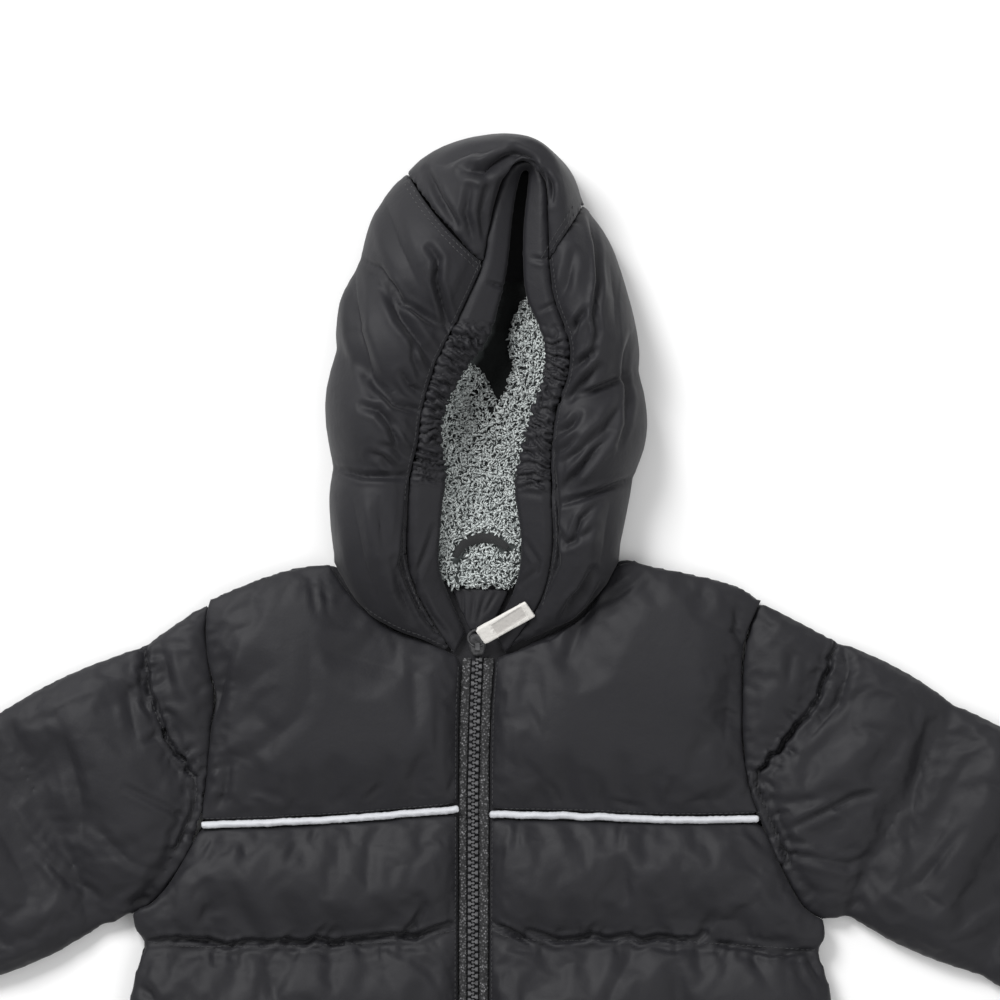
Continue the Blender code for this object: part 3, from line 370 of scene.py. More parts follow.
def creased_edges(piece, angle):
    """Points along the grooves and outer edges of a CAD copy, for finding its seams."""
    shape = bmesh.new()
    shape.from_mesh(piece.data)
    found = []
    for edge in shape.edges:
        if len(edge.link_faces) == 2 and edge.calc_face_angle(0.0) > angle:
            a, b = edge.verts[0].co, edge.verts[1].co
            count = max(1, int((b - a).length / 0.0015))
            found += [a.lerp(b, k / count) for k in range(count + 1)]
    shape.free()
    tree = kdtree.KDTree(len(found))
    for k, point in enumerate(found):
        tree.insert(point, k)
    tree.balance()
    return tree


def distances(points, tree):
    return np.array([tree.find(Vector(p))[2] for p in points])


def smoothed(piece, free, rounds, amount=0.5):
    """Relaxes the free points of a mesh towards their neighbours' middle."""
    edges = np.empty(len(piece.data.edges) * 2, dtype=np.int32)
    piece.data.edges.foreach_get("vertices", edges)
    edges = edges.reshape(-1, 2)
    points = places(piece)
    count = np.bincount(edges.ravel(), minlength=len(points)).reshape(-1, 1)
    for _ in range(rounds):
        total = np.stack([np.bincount(edges[:, 0], points[edges[:, 1], k], len(points))
                          + np.bincount(edges[:, 1], points[edges[:, 0], k], len(points))
                          for k in range(3)], axis=1)
        middle = total / np.maximum(count, 1)
        points += (middle - points) * amount * free.reshape(-1, 1)
    settle(piece, points)


def evened(piece, voxel, rounds=0):
    """Gives a CAD copy an even mesh, its voxel in millimetres, and relaxes it all over for the given rounds,
    if any.
    """
    even = piece.modifiers.new("even", "REMESH")
    even.mode = "VOXEL"
    even.voxel_size = voxel * MM
    baked(piece)
    if rounds:
        smoothed(piece, np.ones(len(piece.data.vertices)), rounds)


def billow(piece, held, pressure, growth, cap, frames=13):
    """Lets the panel fill and wrinkle as cloth that is a little larger than its outline."""
    start = places(piece)
    group = piece.vertex_groups.new(name="held")
    group.add([int(k) for k in np.nonzero(held)[0]], 1.0, "REPLACE")
    soft = piece.modifiers.new("billow", "CLOTH")
    cloth = soft.settings
    cloth.quality = 5
    cloth.mass = 0.2
    cloth.tension_stiffness = 14.0
    cloth.compression_stiffness = 14.0
    cloth.shear_stiffness = 6.0
    cloth.bending_stiffness = 0.25
    cloth.use_pressure = True
    cloth.uniform_pressure_force = pressure
    cloth.shrink_min = -growth
    cloth.vertex_group_mass = "held"
    cloth.effector_weights.gravity = 0.0
    soft.collision_settings.use_collision = False
    soft.point_cache.frame_start = 1
    soft.point_cache.frame_end = frames
    for number in range(1, frames + 1):
        bpy.context.scene.frame_set(number)
    graph = bpy.context.evaluated_depsgraph_get()
    swollen = bpy.data.meshes.new_from_object(piece.evaluated_get(graph))
    flat = np.empty(len(swollen.vertices) * 3)
    swollen.vertices.foreach_get("co", flat)
    moved = flat.reshape(-1, 3) - start
    length = np.linalg.norm(moved, axis=1).reshape(-1, 1)
    moved *= np.minimum(1.0, cap / np.maximum(length, 1e-9))
    piece.modifiers.clear()
    piece.vertex_groups.clear()
    bpy.context.scene.frame_set(1)
    settle(piece, start + moved)


def subdivided(piece):
    finer = piece.modifiers.new("finer", "SUBSURF")
    finer.levels = 1
    finer.render_levels = 1
    return baked(piece)


def plain_underside(piece, floor, ceiling):
    """Joins the small faces of the flat underside and inside into a few large ones."""
    shape = bmesh.new()
    shape.from_mesh(piece.data)
    low = [v for v in shape.verts if v.co.z < floor or v.normal.z < -0.95 and v.co.z < ceiling]
    edges = list({e for v in low for e in v.link_edges})
    bmesh.ops.dissolve_limit(shape, angle_limit=math.radians(1.5), verts=low, edges=edges)
    bmesh.ops.triangulate(shape, faces=[f for f in shape.faces if len(f.verts) > 4])
    shape.to_mesh(piece.data)
    shape.free()


# --- Wrinkles ---

def seen(x, y):
    """The plan point in millimetres at a pixel of the straight-down view, 1000 pixels wide."""
    return ((x - 474.0) * PIXEL, (812.0 - y) * PIXEL)


def creased(piece, creases):
    """Presses soft troughs with a low ridge beside them into the surface.

    A crease is (half width, depth, lean, point, point, ...) in plan millimetres. A depth below 0
    is a ridge. With a lean above 0 the cloth to the right of the walk also sinks, below 0 the left.
    No crease goes below the piece's own underside.
    """
    points = places(piece)
    lines = directions(piece)
    outside = np.clip(lines[:, 2] * 1.6 + 0.25, 0.0, 1.0)
    push = np.zeros(len(points))
    flat = points[:, :2] / MM
    for wide, deep, lean, *walk in creases:
        walk = np.array(walk)
        reach = (6.0 if lean else 3.2) * wide
        low, high = walk.min(axis=0) - reach, walk.max(axis=0) + reach
        near = np.nonzero((flat > low).all(axis=1) & (flat < high).all(axis=1))[0]
        if not len(near):
            continue
        at = flat[near]
        steps = np.linalg.norm(np.diff(walk, axis=0), axis=1)
        before = np.concatenate([[0.0], np.cumsum(steps)])
        best = np.full(len(at), 1e9)
        side, share = np.zeros(len(at)), np.zeros(len(at))
        for k, (start, end) in enumerate(zip(walk, walk[1:])):
            run = end - start
            t = np.clip(((at - start) @ run) / (run @ run), 0.0, 1.0)
            away = (at - start) - t[:, None] * run
            gap = np.linalg.norm(away, axis=1)
            closer = gap < best
            best[closer] = gap[closer]
            side[closer] = (away[:, 0] * run[1] - away[:, 1] * run[0])[closer]
            share[closer] = ((before[k] + t * steps[k]) / before[-1])[closer]
        off = best / wide
        taper = np.sin(np.pi * (0.08 + 0.84 * share)) ** 0.8
        trough = 0.62 * np.exp(-off ** 2) + 0.55 * np.exp(-2.6 * off)
        ridge = np.exp(-((off - 1.7) / 0.8) ** 2) * np.where(side > 0, 0.40, 0.25)
        sink = (1 - np.exp(-(off / 0.8) ** 2)) * np.exp(-off / 2.6) * (side * lean > 0) * abs(lean)
        push[near] -= (trough + sink - ridge) * deep * taper
    pressed = points + lines * (push * outside * MM)[:, None]
    pressed[:, 2] = np.maximum(pressed[:, 2], points[:, 2].min())
    settle(piece, pressed)


def drawn_to(piece, lines, reach, pull):
    """Moves a panel's edge towards the seam lines that it is sewn to, to narrow the gap there."""
    samples = [p for line in lines for p, _ in curve_points(line, 0.8)]
    tree = kdtree.KDTree(len(samples))
    for k, point in enumerate(samples):
        tree.insert((point.x, point.y, 0.0), k)
    tree.balance()
    points = places(piece)
    for k, (x, y, _) in enumerate(points / MM):
        found, _, gap = tree.find((x, y, 0.0))
        if gap < reach:
            step = min(pull * (1 - gap / reach), gap) / max(gap, 1e-6)
            points[k, 0] += (found.x - x) * step * MM
            points[k, 1] += (found.y - y) * step * MM
    settle(piece, points)


def curve_points(knots, step):
    """Evenly spaced points with their directions along a smooth line through plan knots."""
    knots = [Vector(k) for k in knots]
    dense = []
    last = len(knots) - 1
    for i in range(last):
        before, start = knots[max(i - 1, 0)], knots[i]
        end, after = knots[i + 1], knots[min(i + 2, last)]
        for k in range(12):
            t = k / 12
            rise, fall = (end - before) * 0.5, (after - start) * 0.5
            dense.append(start * (2 * t**3 - 3 * t**2 + 1) + rise * (t**3 - 2 * t**2 + t)
                         + end * (3 * t**2 - 2 * t**3) + fall * (t**3 - t**2))
    dense.append(knots[-1])
    lengths = [0.0]
    for a, b in zip(dense, dense[1:]):
        lengths.append(lengths[-1] + (b - a).length)
    count = max(2, round(lengths[-1] / step))
    found = []
    k = 0
    for n in range(count + 1):
        want = lengths[-1] * n / count
        while k < len(dense) - 2 and lengths[k + 1] < want:
            k += 1
        part = (want - lengths[k]) / max(lengths[k + 1] - lengths[k], 1e-9)
        found.append((dense[k].lerp(dense[k + 1], part), (dense[k + 1] - dense[k]).normalized()))
    return found


def puckers(line, sides, pitch, length, depth, seed, half_width=1.9):
    """Short uneven creases that run off a seam line where its thread draws the cloth in."""
    chance = random.Random(seed)
    found = []
    for point, run in curve_points(line, pitch):
        for side in sides:
            if chance.random() < 0.28:
                continue
            lean = chance.uniform(-0.55, 0.55)
            out = Vector((-run.y, run.x)) * side + run * lean
            out.normalize()
            start = point + run * chance.uniform(-0.4, 0.4) * pitch
            reach = length * chance.uniform(0.45, 1.35)
            end = start + out * reach
            wide = half_width * chance.uniform(0.75, 1.4)
            bend = (start + end) * 0.5 + Vector((-out.y, out.x)) * reach * chance.uniform(-0.15, 0.15)
            deep = depth * chance.uniform(0.4, 1.25)
            found.append((wide, deep, 0.0, tuple(start), tuple(bend), tuple(end)))
    return found


def jagged(line, half_width, depth, seed, swing=1.6):
    """A quilt line as the thread leaves it: a deep narrow valley that wanders about its line."""
    chance = random.Random(seed)
    found = []
    walk = []
    for point, run in curve_points(line, 5.5):
        out = Vector((-run.y, run.x))
        walk.append(tuple(point + out * chance.uniform(-swing, swing)))
    for k in range(0, len(walk) - 1, 3):
        part = walk[k:k + 5]
        if len(part) > 1:
            wide = half_width * chance.uniform(0.8, 1.25)
            found.append((wide, depth * chance.uniform(0.5, 1.2), 0.0, *part))
    return found


# --- Shell ---

# How near a seam line a panel's edge is drawn to it, and how far, in millimetres
BODY_DRAW = (8.0, 1.7)
HOOD_DRAW = (6.5, 1.4)
# Heights under which faces are flat enough to join: the floor side, and a body panel's inside
UNDERSIDE = 0.2 * MM
BODY_INSIDE = 8.8 * MM


def shell_panel(node, voxel, pressure, growth, cap, creases, hood=False):
    """A padded panel grown from its CAD solid: even mesh, filled where it is given growth, then creased."""
    piece = solid_copy(node, node + "_cloth", SHELL)
    seams = creased_edges(piece, math.radians(24))
    evened(piece, voxel)
    points, lines = places(piece), directions(piece)
    held = distances(points, seams) < 0.0026
    if hood:
        held |= ((points - MIDDLE_OF_HOOD) * lines).sum(axis=1) < 0.0
        held |= points[:, 2] < 0.007
    else:
        held |= lines[:, 2] < 0.12
    smoothed(piece, ~held, 6)
    if growth:
        billow(piece, held, pressure, growth, cap * MM)
    subdivided(piece)
    drawn_to(piece, SEWN[node], *(HOOD_DRAW if hood else BODY_DRAW))
    creased(piece, creases)
    plain_underside(piece, UNDERSIDE, UNDERSIDE if hood else BODY_INSIDE)
    piece.data.shade_smooth()
    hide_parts(node)
    return piece


# The main folds of each panel: half width, depth, lean, then its points in view pixels
FOLDS = {
    "yoke_left": [
        (4.0, 2.6, 0.4, (231, 650), (222, 687), (215, 714)),
        (3.5, 2.6, 0.0, (231, 755), (225, 795), (215, 809)),
        (2.4, 1.0, 0.0, (283, 777), (279, 800)),
        (2.2, 1.0, 0.0, (311, 578), (317, 612)),
        (2.0, 0.9, 0.0, (324, 580), (329, 612)),
        (6.0, 1.6, 0.5, (326, 650), (358, 657), (397, 669)),
        (5.0, 1.2, 0.0, (302, 714), (265, 748)),
        (2.0, 1.0, 0.0, (381, 784), (365, 800)),
        (2.0, 0.9, 0.0, (455, 777), (449, 793)),
        (6.0, -1.2, 0.0, (246, 630), (234, 673), (230, 700)),
        (3.0, 1.2, 0.0, (345, 792), (338, 805)),
        (5.0, 0.9, 0.0, (310, 640), (312, 690), (300, 715)),
    ],
    "yoke_right": [
        (2.2, 1.5, 0.0, (549, 782), (555, 790), (562, 806)),
        (2.2, 1.5, 0.0, (671, 779), (669, 790), (667, 802)),
        (2.0, 1.3, 0.0, (612, 800), (628, 804), (643, 807)),
        (2.0, 0.9, 0.0, (590, 782), (592, 803)),
        (2.0, 0.9, 0.0, (602, 784), (602, 805)),
        (5.0, 1.1, 0.0, (503, 754), (514, 765), (528, 776)),
        (2.5, 1.8, 0.0, (643, 573), (630, 585), (602, 604)),
        (4.0, 1.6, 0.0, (589, 603), (579, 626), (566, 662)),
        (2.2, 1.6, 0.0, (737, 603), (735, 631), (743, 647)),
        (6.0, 1.2, 0.0, (730, 677), (725, 739)),
        (7.0, 0.9, 0.0, (540, 690), (545, 730), (538, 760)),
        (3.0, 1.0, 0.0, (690, 801), (708, 798)),
    ],
    "front_left": [
        (3.0, 4.0, 0.0, (129, 907), (140, 901), (152, 897)),
        (4.0, 1.6, 0.0, (216, 899), (199, 923)),
        (3.0, 1.3, 0.0, (242, 837), (247, 855)),
        (2.4, 1.1, 0.0, (297, 844), (287, 861)),
        (2.0, 1.0, 0.0, (210, 838), (202, 851)),
        (2.0, 0.9, 0.0, (316, 828), (311, 840)),
        (2.0, 1.9, 0.0, (426, 903), (415, 922), (399, 938)),
        (2.0, 1.6, 0.0, (293, 934), (283, 942)),
        (2.0, 1.8, 0.0, (327, 926), (313, 938)),
        (2.0, 1.6, 0.0, (336, 928), (322, 940)),
        (1.7, 4.2, 0.3, (152, 940), (175, 938), (211, 940), (227, 945), (252, 940), (272, 943)),
        (1.7, 4.6, 0.3, (262, 942), (283, 940), (306, 942), (315, 938), (333, 942), (365, 937)),
        (1.7, 4.6, 0.3, (350, 939), (365, 937), (397, 934), (415, 936), (435, 928), (451, 923)),
        (5.0, 1.8, 0.4, (265, 947), (270, 972), (277, 1000), (280, 1030)),
        (4.0, 2.4, 0.0, (140, 985), (150, 992), (158, 1004)),
        (5.0, 1.0, 0.0, (330, 960), (336, 1000)),
        (5.0, 1.2, 0.0, (365, 862), (372, 905)),
        (4.0, 1.2, 0.0, (230, 868), (246, 920)),
    ],
    "front_right": [
        (1.7, 4.6, -0.3, (490, 922), (508, 930), (531, 942)),
        (1.7, 4.4, -0.3, (528, 930), (544, 935), (556, 940), (582, 938), (592, 935), (618, 940)),
        (1.7, 4.4, -0.3, (605, 938), (628, 935), (641, 940), (658, 936), (674, 939), (697, 939), (705, 932)),
        (1.7, 2.4, 0.0, (715, 942), (745, 946), (768, 952), (790, 952), (816, 949)),
        (2.0, 1.6, 0.0, (595, 925), (584, 936)),
        (3.0, 1.4, 0.0, (712, 914), (699, 935)),
        (5.0, 1.6, 0.4, (633, 950), (613, 986), (605, 1010)),
        (4.0, 1.3, 0.0, (750, 953), (771, 986)),
        (6.0, 1.2, 0.0, (730, 950), (722, 979)),
        (7.0, 1.2, 0.0, (684, 851), (676, 884)),
        (2.4, 1.2, 0.0, (620, 822), (619, 847)),
        (2.6, 1.2, 0.0, (518, 820), (516, 847)),
        (2.4, 1.0, 0.0, (748, 828), (763, 846)),
        (3.0, 2.8, 0.0, (806, 953), (812, 962), (820, 977)),
        (5.0, 1.0, 0.0, (560, 860), (556, 905)),
        (5.0, 1.0, 0.0, (620, 870), (630, 915)),
    ],
    "sleeve_left": [
        (2.6, 3.2, 0.8, (156, 719), (147, 705), (143, 668), (145, 637)),
        (4.0, 2.2, 0.0, (129, 690), (138, 737)),
        (2.2, 1.7, 0.0, (127, 786), (150, 797), (182, 814)),
        (2.2, 1.4, 0.0, (190, 762), (188, 792)),
        (3.5, 1.6, 0.0, (160, 640), (172, 690)),
        (4.0, 2.6, 0.0, (132, 905), (141, 900), (151, 897)),
        (4.0, 1.8, 0.3, (60, 720), (80, 790), (84, 840)),
        (3.0, 1.4, 0.0, (30, 840), (70, 880), (96, 890)),
        (3.0, 1.6, 0.0, (100, 830), (130, 860), (150, 868)),
    ],
    "sleeve_right": [
        (3.6, 3.6, 0.3, (842, 640), (847, 667), (837, 703), (806, 737)),
        (2.4, 2.4, 0.4, (877, 791), (852, 797), (832, 807), (799, 823), (786, 829)),
        (3.0, 1.2, 0.0, (783, 802), (819, 797)),
        (3.0, 2.2, 0.3, (786, 852), (824, 859), (847, 864), (872, 854)),
        (2.5, 1.6, 0.0, (786, 841), (807, 843)),
        (3.0, 1.8, 0.0, (861, 896), (844, 913)),
        (3.0, 1.5, 0.0, (792, 650), (786, 690)),
        (4.0, 1.8, 0.3, (930, 720), (912, 790), (908, 840)),
        (3.0, 1.5, 0.0, (960, 830), (920, 880), (896, 890)),
    ],
    "hood_side_left": [
        (4.0, 2.4, 0.4, (354, 275), (357, 332), (368, 367), (377, 391)),
        (3.4, 3.2, 0.5, (434, 364), (426, 351), (415, 336), (402, 319), (389, 291)),
        (2.4, 3.4, 0.6, (431, 250), (439, 262), (437, 284), (447, 319), (453, 334)),
        (2.0, 1.4, 0.0, (414, 344), (415, 361), (421, 375)),
        (2.2, 1.8, 0.0, (403, 374), (411, 388), (423, 395)),
        (2.2, 2.0, 0.3, (375, 382), (396, 404), (423, 413)),
        (2.6, 2.8, 0.5, (405, 457), (399, 445), (392, 426), (379, 411), (364, 407)),
        (2.2, 1.5, 0.0, (371, 454), (383, 458), (393, 469)),
        (2.0, 1.4, 0.0, (383, 446), (393, 448), (402, 457)),
        (2.0, 1.2, 0.0, (393, 416), (402, 429), (409, 439)),
        (5.0, 1.6, 0.3, (385, 205), (398, 245), (418, 288)),
        (2.0, 1.6, 0.0, (364, 261), (380, 270), (404, 304), (431, 321), (450, 331)),
        (2.2, 1.8, 0.0, (334, 468), (364, 476), (412, 477)),
        (2.4, 2.8, 0.5, (413, 482), (410, 522), (406, 563), (413, 587), (425, 613), (438, 629), (463, 638)),
        (3.0, 1.6, 0.0, (398, 560), (402, 590), (414, 618)),
        (5.0, 1.4, 0.0, (352, 500), (362, 560), (378, 600)),
        (4.0, 1.2, 0.0, (380, 500), (384, 545)),
        (2.4, -0.8, 0.0, (355, 279), (360, 316)),
    ],
    "hood_side_right": [
        (1.9, 1.7, 0.0, (575, 322), (572, 337)),
        (2.0, 1.6, 0.0, (586, 310), (579, 319), (572, 329)),
        (2.3, 2.4, 0.3, (594, 352), (583, 361), (572, 369)),
        (2.4, 2.4, 0.3, (599, 368), (582, 385), (567, 400)),
        (2.2, 2.0, 0.3, (578, 416), (570, 426), (556, 434)),
        (2.0, 1.6, 0.0, (575, 438), (566, 446), (553, 454)),
        (3.6, 2.2, 0.3, (625, 400), (606, 430), (580, 452), (562, 462)),
        (2.6, 3.2, 0.5, (610, 438), (596, 452), (580, 470), (566, 486)),
        (2.0, 1.4, 0.0, (625, 377), (603, 387), (571, 399)),
        (2.0, 2.6, -1.0, (590, 218), (597, 247), (599, 283), (594, 315), (597, 333), (592, 354)),
        (2.0, 1.8, -0.8, (631, 335), (626, 354), (624, 372), (629, 400), (626, 425), (618, 445)),
        (2.0, 1.8, 0.0, (632, 478), (593, 494), (557, 505)),
        (2.4, 2.8, -0.5, (551, 440), (549, 469), (553, 502), (551, 534), (554, 563), (542, 590), (534, 605)),
        (2.2, 1.8, 0.0, (597, 504), (581, 519), (573, 540), (564, 545), (556, 530)),
        (2.4, 1.2, 0.0, (594, 527), (573, 543)),
        (2.4, 2.6, 0.3, (593, 570), (582, 592), (573, 601), (562, 618)),
        (2.2, 1.6, 0.0, (600, 586), (586, 612), (566, 635)),
        (5.0, 1.2, 0.0, (610, 505), (606, 545), (600, 570)),
        (3.0, 1.4, 0.0, (573, 255), (566, 285), (560, 300)),
        (4.0, 1.4, 0.0, (612, 265), (618, 300), (616, 325)),
    ],
    "hood_centre": [
        (3.4, 4.2, 0.6, (528, 165), (514, 158), (499, 165), (483, 175), (466, 172)),
        (2.4, 2.4, 0.0, (544, 176), (550, 187), (551, 203)),
        (2.2, 1.8, 0.0, (428, 172), (440, 200), (458, 228)),
        (2.4, 1.6, 0.0, (470, 190), (466, 215), (474, 245)),
        (2.2, 1.4, 0.0, (489, 182), (482, 215), (484, 240)),
        (3.0, 1.4, 0.0, (445, 165), (470, 152), (500, 150)),
    ],
}


# The hood's folds stand deeper than the body's, because nothing presses it flat
HOOD_DEPTH = 1.65


def shell_creases():
    """The main folds of each panel, its quilt lines, and the puckers along its seams."""
    found = {panel: [(w, d * (HOOD_DEPTH if panel.startswith("hood") else 1.0), lean,
                      *(seen(*p) for p in walk)) for w, d, lean, *walk in folds]
             for panel, folds in FOLDS.items()}
    found["yoke_left"] += puckers(PIPING_LEFT, (-1,), 9, 9, 0.6, 11)
    found["yoke_right"] += puckers(PIPING_RIGHT, (1,), 9, 9, 0.6, 12)
    found["yoke_left"] += puckers(ARMHOLE_LEFT[:7], (1,), 11, 12, 0.7, 13)
    found["yoke_right"] += puckers(ARMHOLE_RIGHT[:7], (-1,), 11, 12, 0.7, 14)
    for side, piping, quilts in (("left", PIPING_LEFT, QUILTS_LEFT), ("right", PIPING_RIGHT, QUILTS_RIGHT)):
        below = 1 if side == "left" else -1
        panel = found["front_" + side]
        panel += puckers(piping, (below,), 10, 11, 0.6, 21)
        for number, line in enumerate(quilts):
            panel += puckers(line, (-1, 1), 8, 8, 0.9, 30 + number, 1.6)
            if number > 0:
                panel += jagged(line, 1.6, 5.6, 50 + number)
    sleeves = (("left", ARMHOLE_LEFT, CUFFWARD_LEFT), ("right", ARMHOLE_RIGHT, CUFFWARD_RIGHT))
    for side, armhole, ring in sleeves:
        out = -1 if side == "left" else 1
        panel = found["sleeve_" + side]
        panel += puckers(armhole, (out,), 10, 11, 0.9, 41)
        panel += puckers(ring, (-1, 1), 6, 9, 1.4, 43, 1.6)
        panel += jagged(ring, 1.5, 4.4, 60)
    return found


SEWN = {
    "yoke_left": [ARMHOLE_LEFT, NECK_LEFT], "yoke_right": [ARMHOLE_RIGHT, NECK_RIGHT],
    "front_left": [ARMHOLE_LEFT], "front_right": [ARMHOLE_RIGHT],
    "sleeve_left": [ARMHOLE_LEFT], "sleeve_right": [ARMHOLE_RIGHT],
    "hood_side_left": [HOOD_SEAM_LEFT, HOOD_EDGE_LEFT, NECK_LEFT],
    "hood_side_right": [HOOD_SEAM_RIGHT, HOOD_EDGE_RIGHT, NECK_RIGHT],
    "hood_centre": [HOOD_SEAM_LEFT, HOOD_SEAM_RIGHT, HOOD_EDGE_CENTRE],
}
CREASES = shell_creases()
PANELS = {}
for node in ("yoke_left", "yoke_right", "front_left", "front_right", "sleeve_left", "sleeve_right"):
    PANELS[node] = shell_panel(node, 3.2, 3.0, 0.030, 4.0, CREASES[node])
for node in ("hood_side_left", "hood_side_right", "hood_centre"):
    PANELS[node] = shell_panel(node, 2.5, 0.0, 0.0, 0.0, CREASES[node], hood=True)


def padded_back():
    """The back panel under everything, rounded along its free edge."""
    piece = solid_copy("back_panel", "back_panel_cloth", SHELL)
    evened(piece, 3.5, 2)
    plain_underside(piece, 0.0002, 0.0004)
    piece.data.shade_smooth()
    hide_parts("back_panel")


def gathered_casing():
    """The band round the face opening, drawn into dense uneven gathers by its elastic."""
    piece = solid_copy("hood_casing", "hood_casing_cloth", SHELL)
    evened(piece, 1.0, 3)
    samples = curve_points(CASING_LINE, 0.6)
    tree = kdtree.KDTree(len(samples))
    for k, (point, _) in enumerate(samples):
        tree.insert((point.x, point.y, 0.0), k)
    tree.balance()
    points, lines = places(piece), directions(piece)
    push = np.zeros(len(points))
    for k, (x, y, _) in enumerate(points / MM):
        centre, index, _ = tree.find((x, y, 0.0))
        run = samples[index][1]
        across = (x - centre.x) * run.y - (y - centre.y) * run.x
        along = index * 0.6
        amount = 0.0
        for low, high, side in GATHERED:
            if (x < 20.0) == (side < 0):
                amount = max(amount, min(1.0, max(0.0, (y - low) / 7.0), max(0.0, (high - y) / 9.0)))
        if amount == 0.0:
            continue
        wander = noise.noise(Vector((along * 0.05, across * 0.06, 3.0))) * 2.1
        fork = noise.noise(Vector((along * 0.16, across * 0.22, 7.0))) * 0.55
        phase = along / 4.1 + across * 0.035 + wander + fork
        fold = abs(math.sin(math.pi * phase)) ** 0.55
        strength = 0.85 + 0.9 * noise.noise(Vector((along * 0.11, across * 0.10, 11.0)))
        push[k] = amount * max(0.3, strength) * (fold - 0.64) * 4.3
    upper = np.clip(lines[:, 2] * 1.4 + 0.75, 0.0, 1.0)
    settle(piece, points + lines * (push * upper * MM)[:, None])
    drawn_to(piece, [HOOD_EDGE_LEFT, HOOD_EDGE_CENTRE, HOOD_EDGE_RIGHT], 3.5, 0.7)
    creased(piece, [(w, d, lean, *(seen(*p) for p in walk)) for w, d, lean, *walk in CASING_FOLDS])
    piece.data.shade_smooth()
    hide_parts("hood_casing")
    return piece


CASING_FOLDS = [
    (1.5, 1.6, 0.3, (449, 333), (463, 338), (479, 347)),
    (1.5, 1.5, 0.3, (447, 346), (462, 353), (477, 363)),
    (1.4, 1.3, 0.2, (444, 361), (456, 366), (466, 372)),
    (1.4, 1.3, 0.2, (434, 392), (446, 402), (455, 404)),
    (1.4, 1.4, 0.2, (404, 446), (425, 452), (446, 459)),
    (1.4, 1.5, 0.2, (402, 456), (424, 461), (447, 468)),
    (1.4, 1.4, 0.2, (404, 466), (424, 470), (446, 477)),
    (1.4, 1.2, 0.0, (408, 472), (426, 478), (444, 484)),
    (2.0, 1.4, 0.3, (435, 527), (426, 554), (415, 579), (415, 598)),
    (2.0, 1.6, 0.3, (423, 598), (431, 616), (448, 635)),
    (1.6, 1.5, 0.0, (490, 284), (498, 287), (507, 289)),
    (1.6, 1.3, 0.0, (533, 260), (541, 262), (549, 260)),
    (1.5, 1.2, 0.0, (540, 312), (552, 306), (563, 306)),
    (1.4, 1.2, 0.0, (520, 486), (535, 483), (549, 484)),
    (1.5, 1.3, 0.0, (524, 478), (538, 473), (551, 472)),
    (1.8, 1.2, 0.3, (525, 541), (538, 562), (536, 571), (520, 584)),
]


# --- Lining ---

# How far the ground sinks in the hollow and in the valley, and its lowest level
HOLLOW_DEPTH = 16.0
VALLEY_DEPTH = 3.2
HOLLOW_FLOOR = 9.6
# No pile grows this near the hanging loop
LOOP_CLEARANCE = 3.6
CURL_COUNT = 5600
PILE_SEED = 5
# The rim of the opening down into the hood, in view pixels
HOLLOW_RIM = [
    (498, 268), (536, 272), (530, 296), (521, 311), (516, 323), (513, 340), (518, 368), (509, 396),
    (499, 413), (492, 402), (485, 387), (476, 373), (462, 363), (436, 352), (468, 300),
]


def hollow(x, y):
    """How far a plan point is inside the opening down into the hood, from 0 to 1."""
    rim = [seen(*p) for p in HOLLOW_RIM]
    inside, nearest = False, 1e9
    for (ax, ay), (bx, by) in zip(rim, rim[1:] + rim[:1]):
        if (ay > y) != (by > y) and x < ax + (y - ay) * (bx - ax) / (by - ay):
            inside = not inside
        t = ((x - ax) * (bx - ax) + (y - ay) * (by - ay)) / ((bx - ax) ** 2 + (by - ay) ** 2)
        t = min(1.0, max(0.0, t))
        nearest = min(nearest, math.hypot(x - ax - t * (bx - ax), y - ay - t * (by - ay)))
    return min(1.0, nearest / 3.0) if inside else 0.0


def valley(x, y):
    """How near a plan point is to the groove in the pile below the hollow, from 0 to 1."""
    if not 165.0 < y < 238.0:
        return 0.0
    middle = float(np.interp(y, [165.0, 171.4, 180.9, 193.8, 205.5, 225.0, 238.0],
                             [4.0, 3.4, 3.4, -1.1, -2.8, -3.4, -5.0]))
    return math.exp(-((x - middle) / 3.0) ** 2) * min(1.0, (y - 165.0) / 12.0, (238.0 - y) / 6.0)


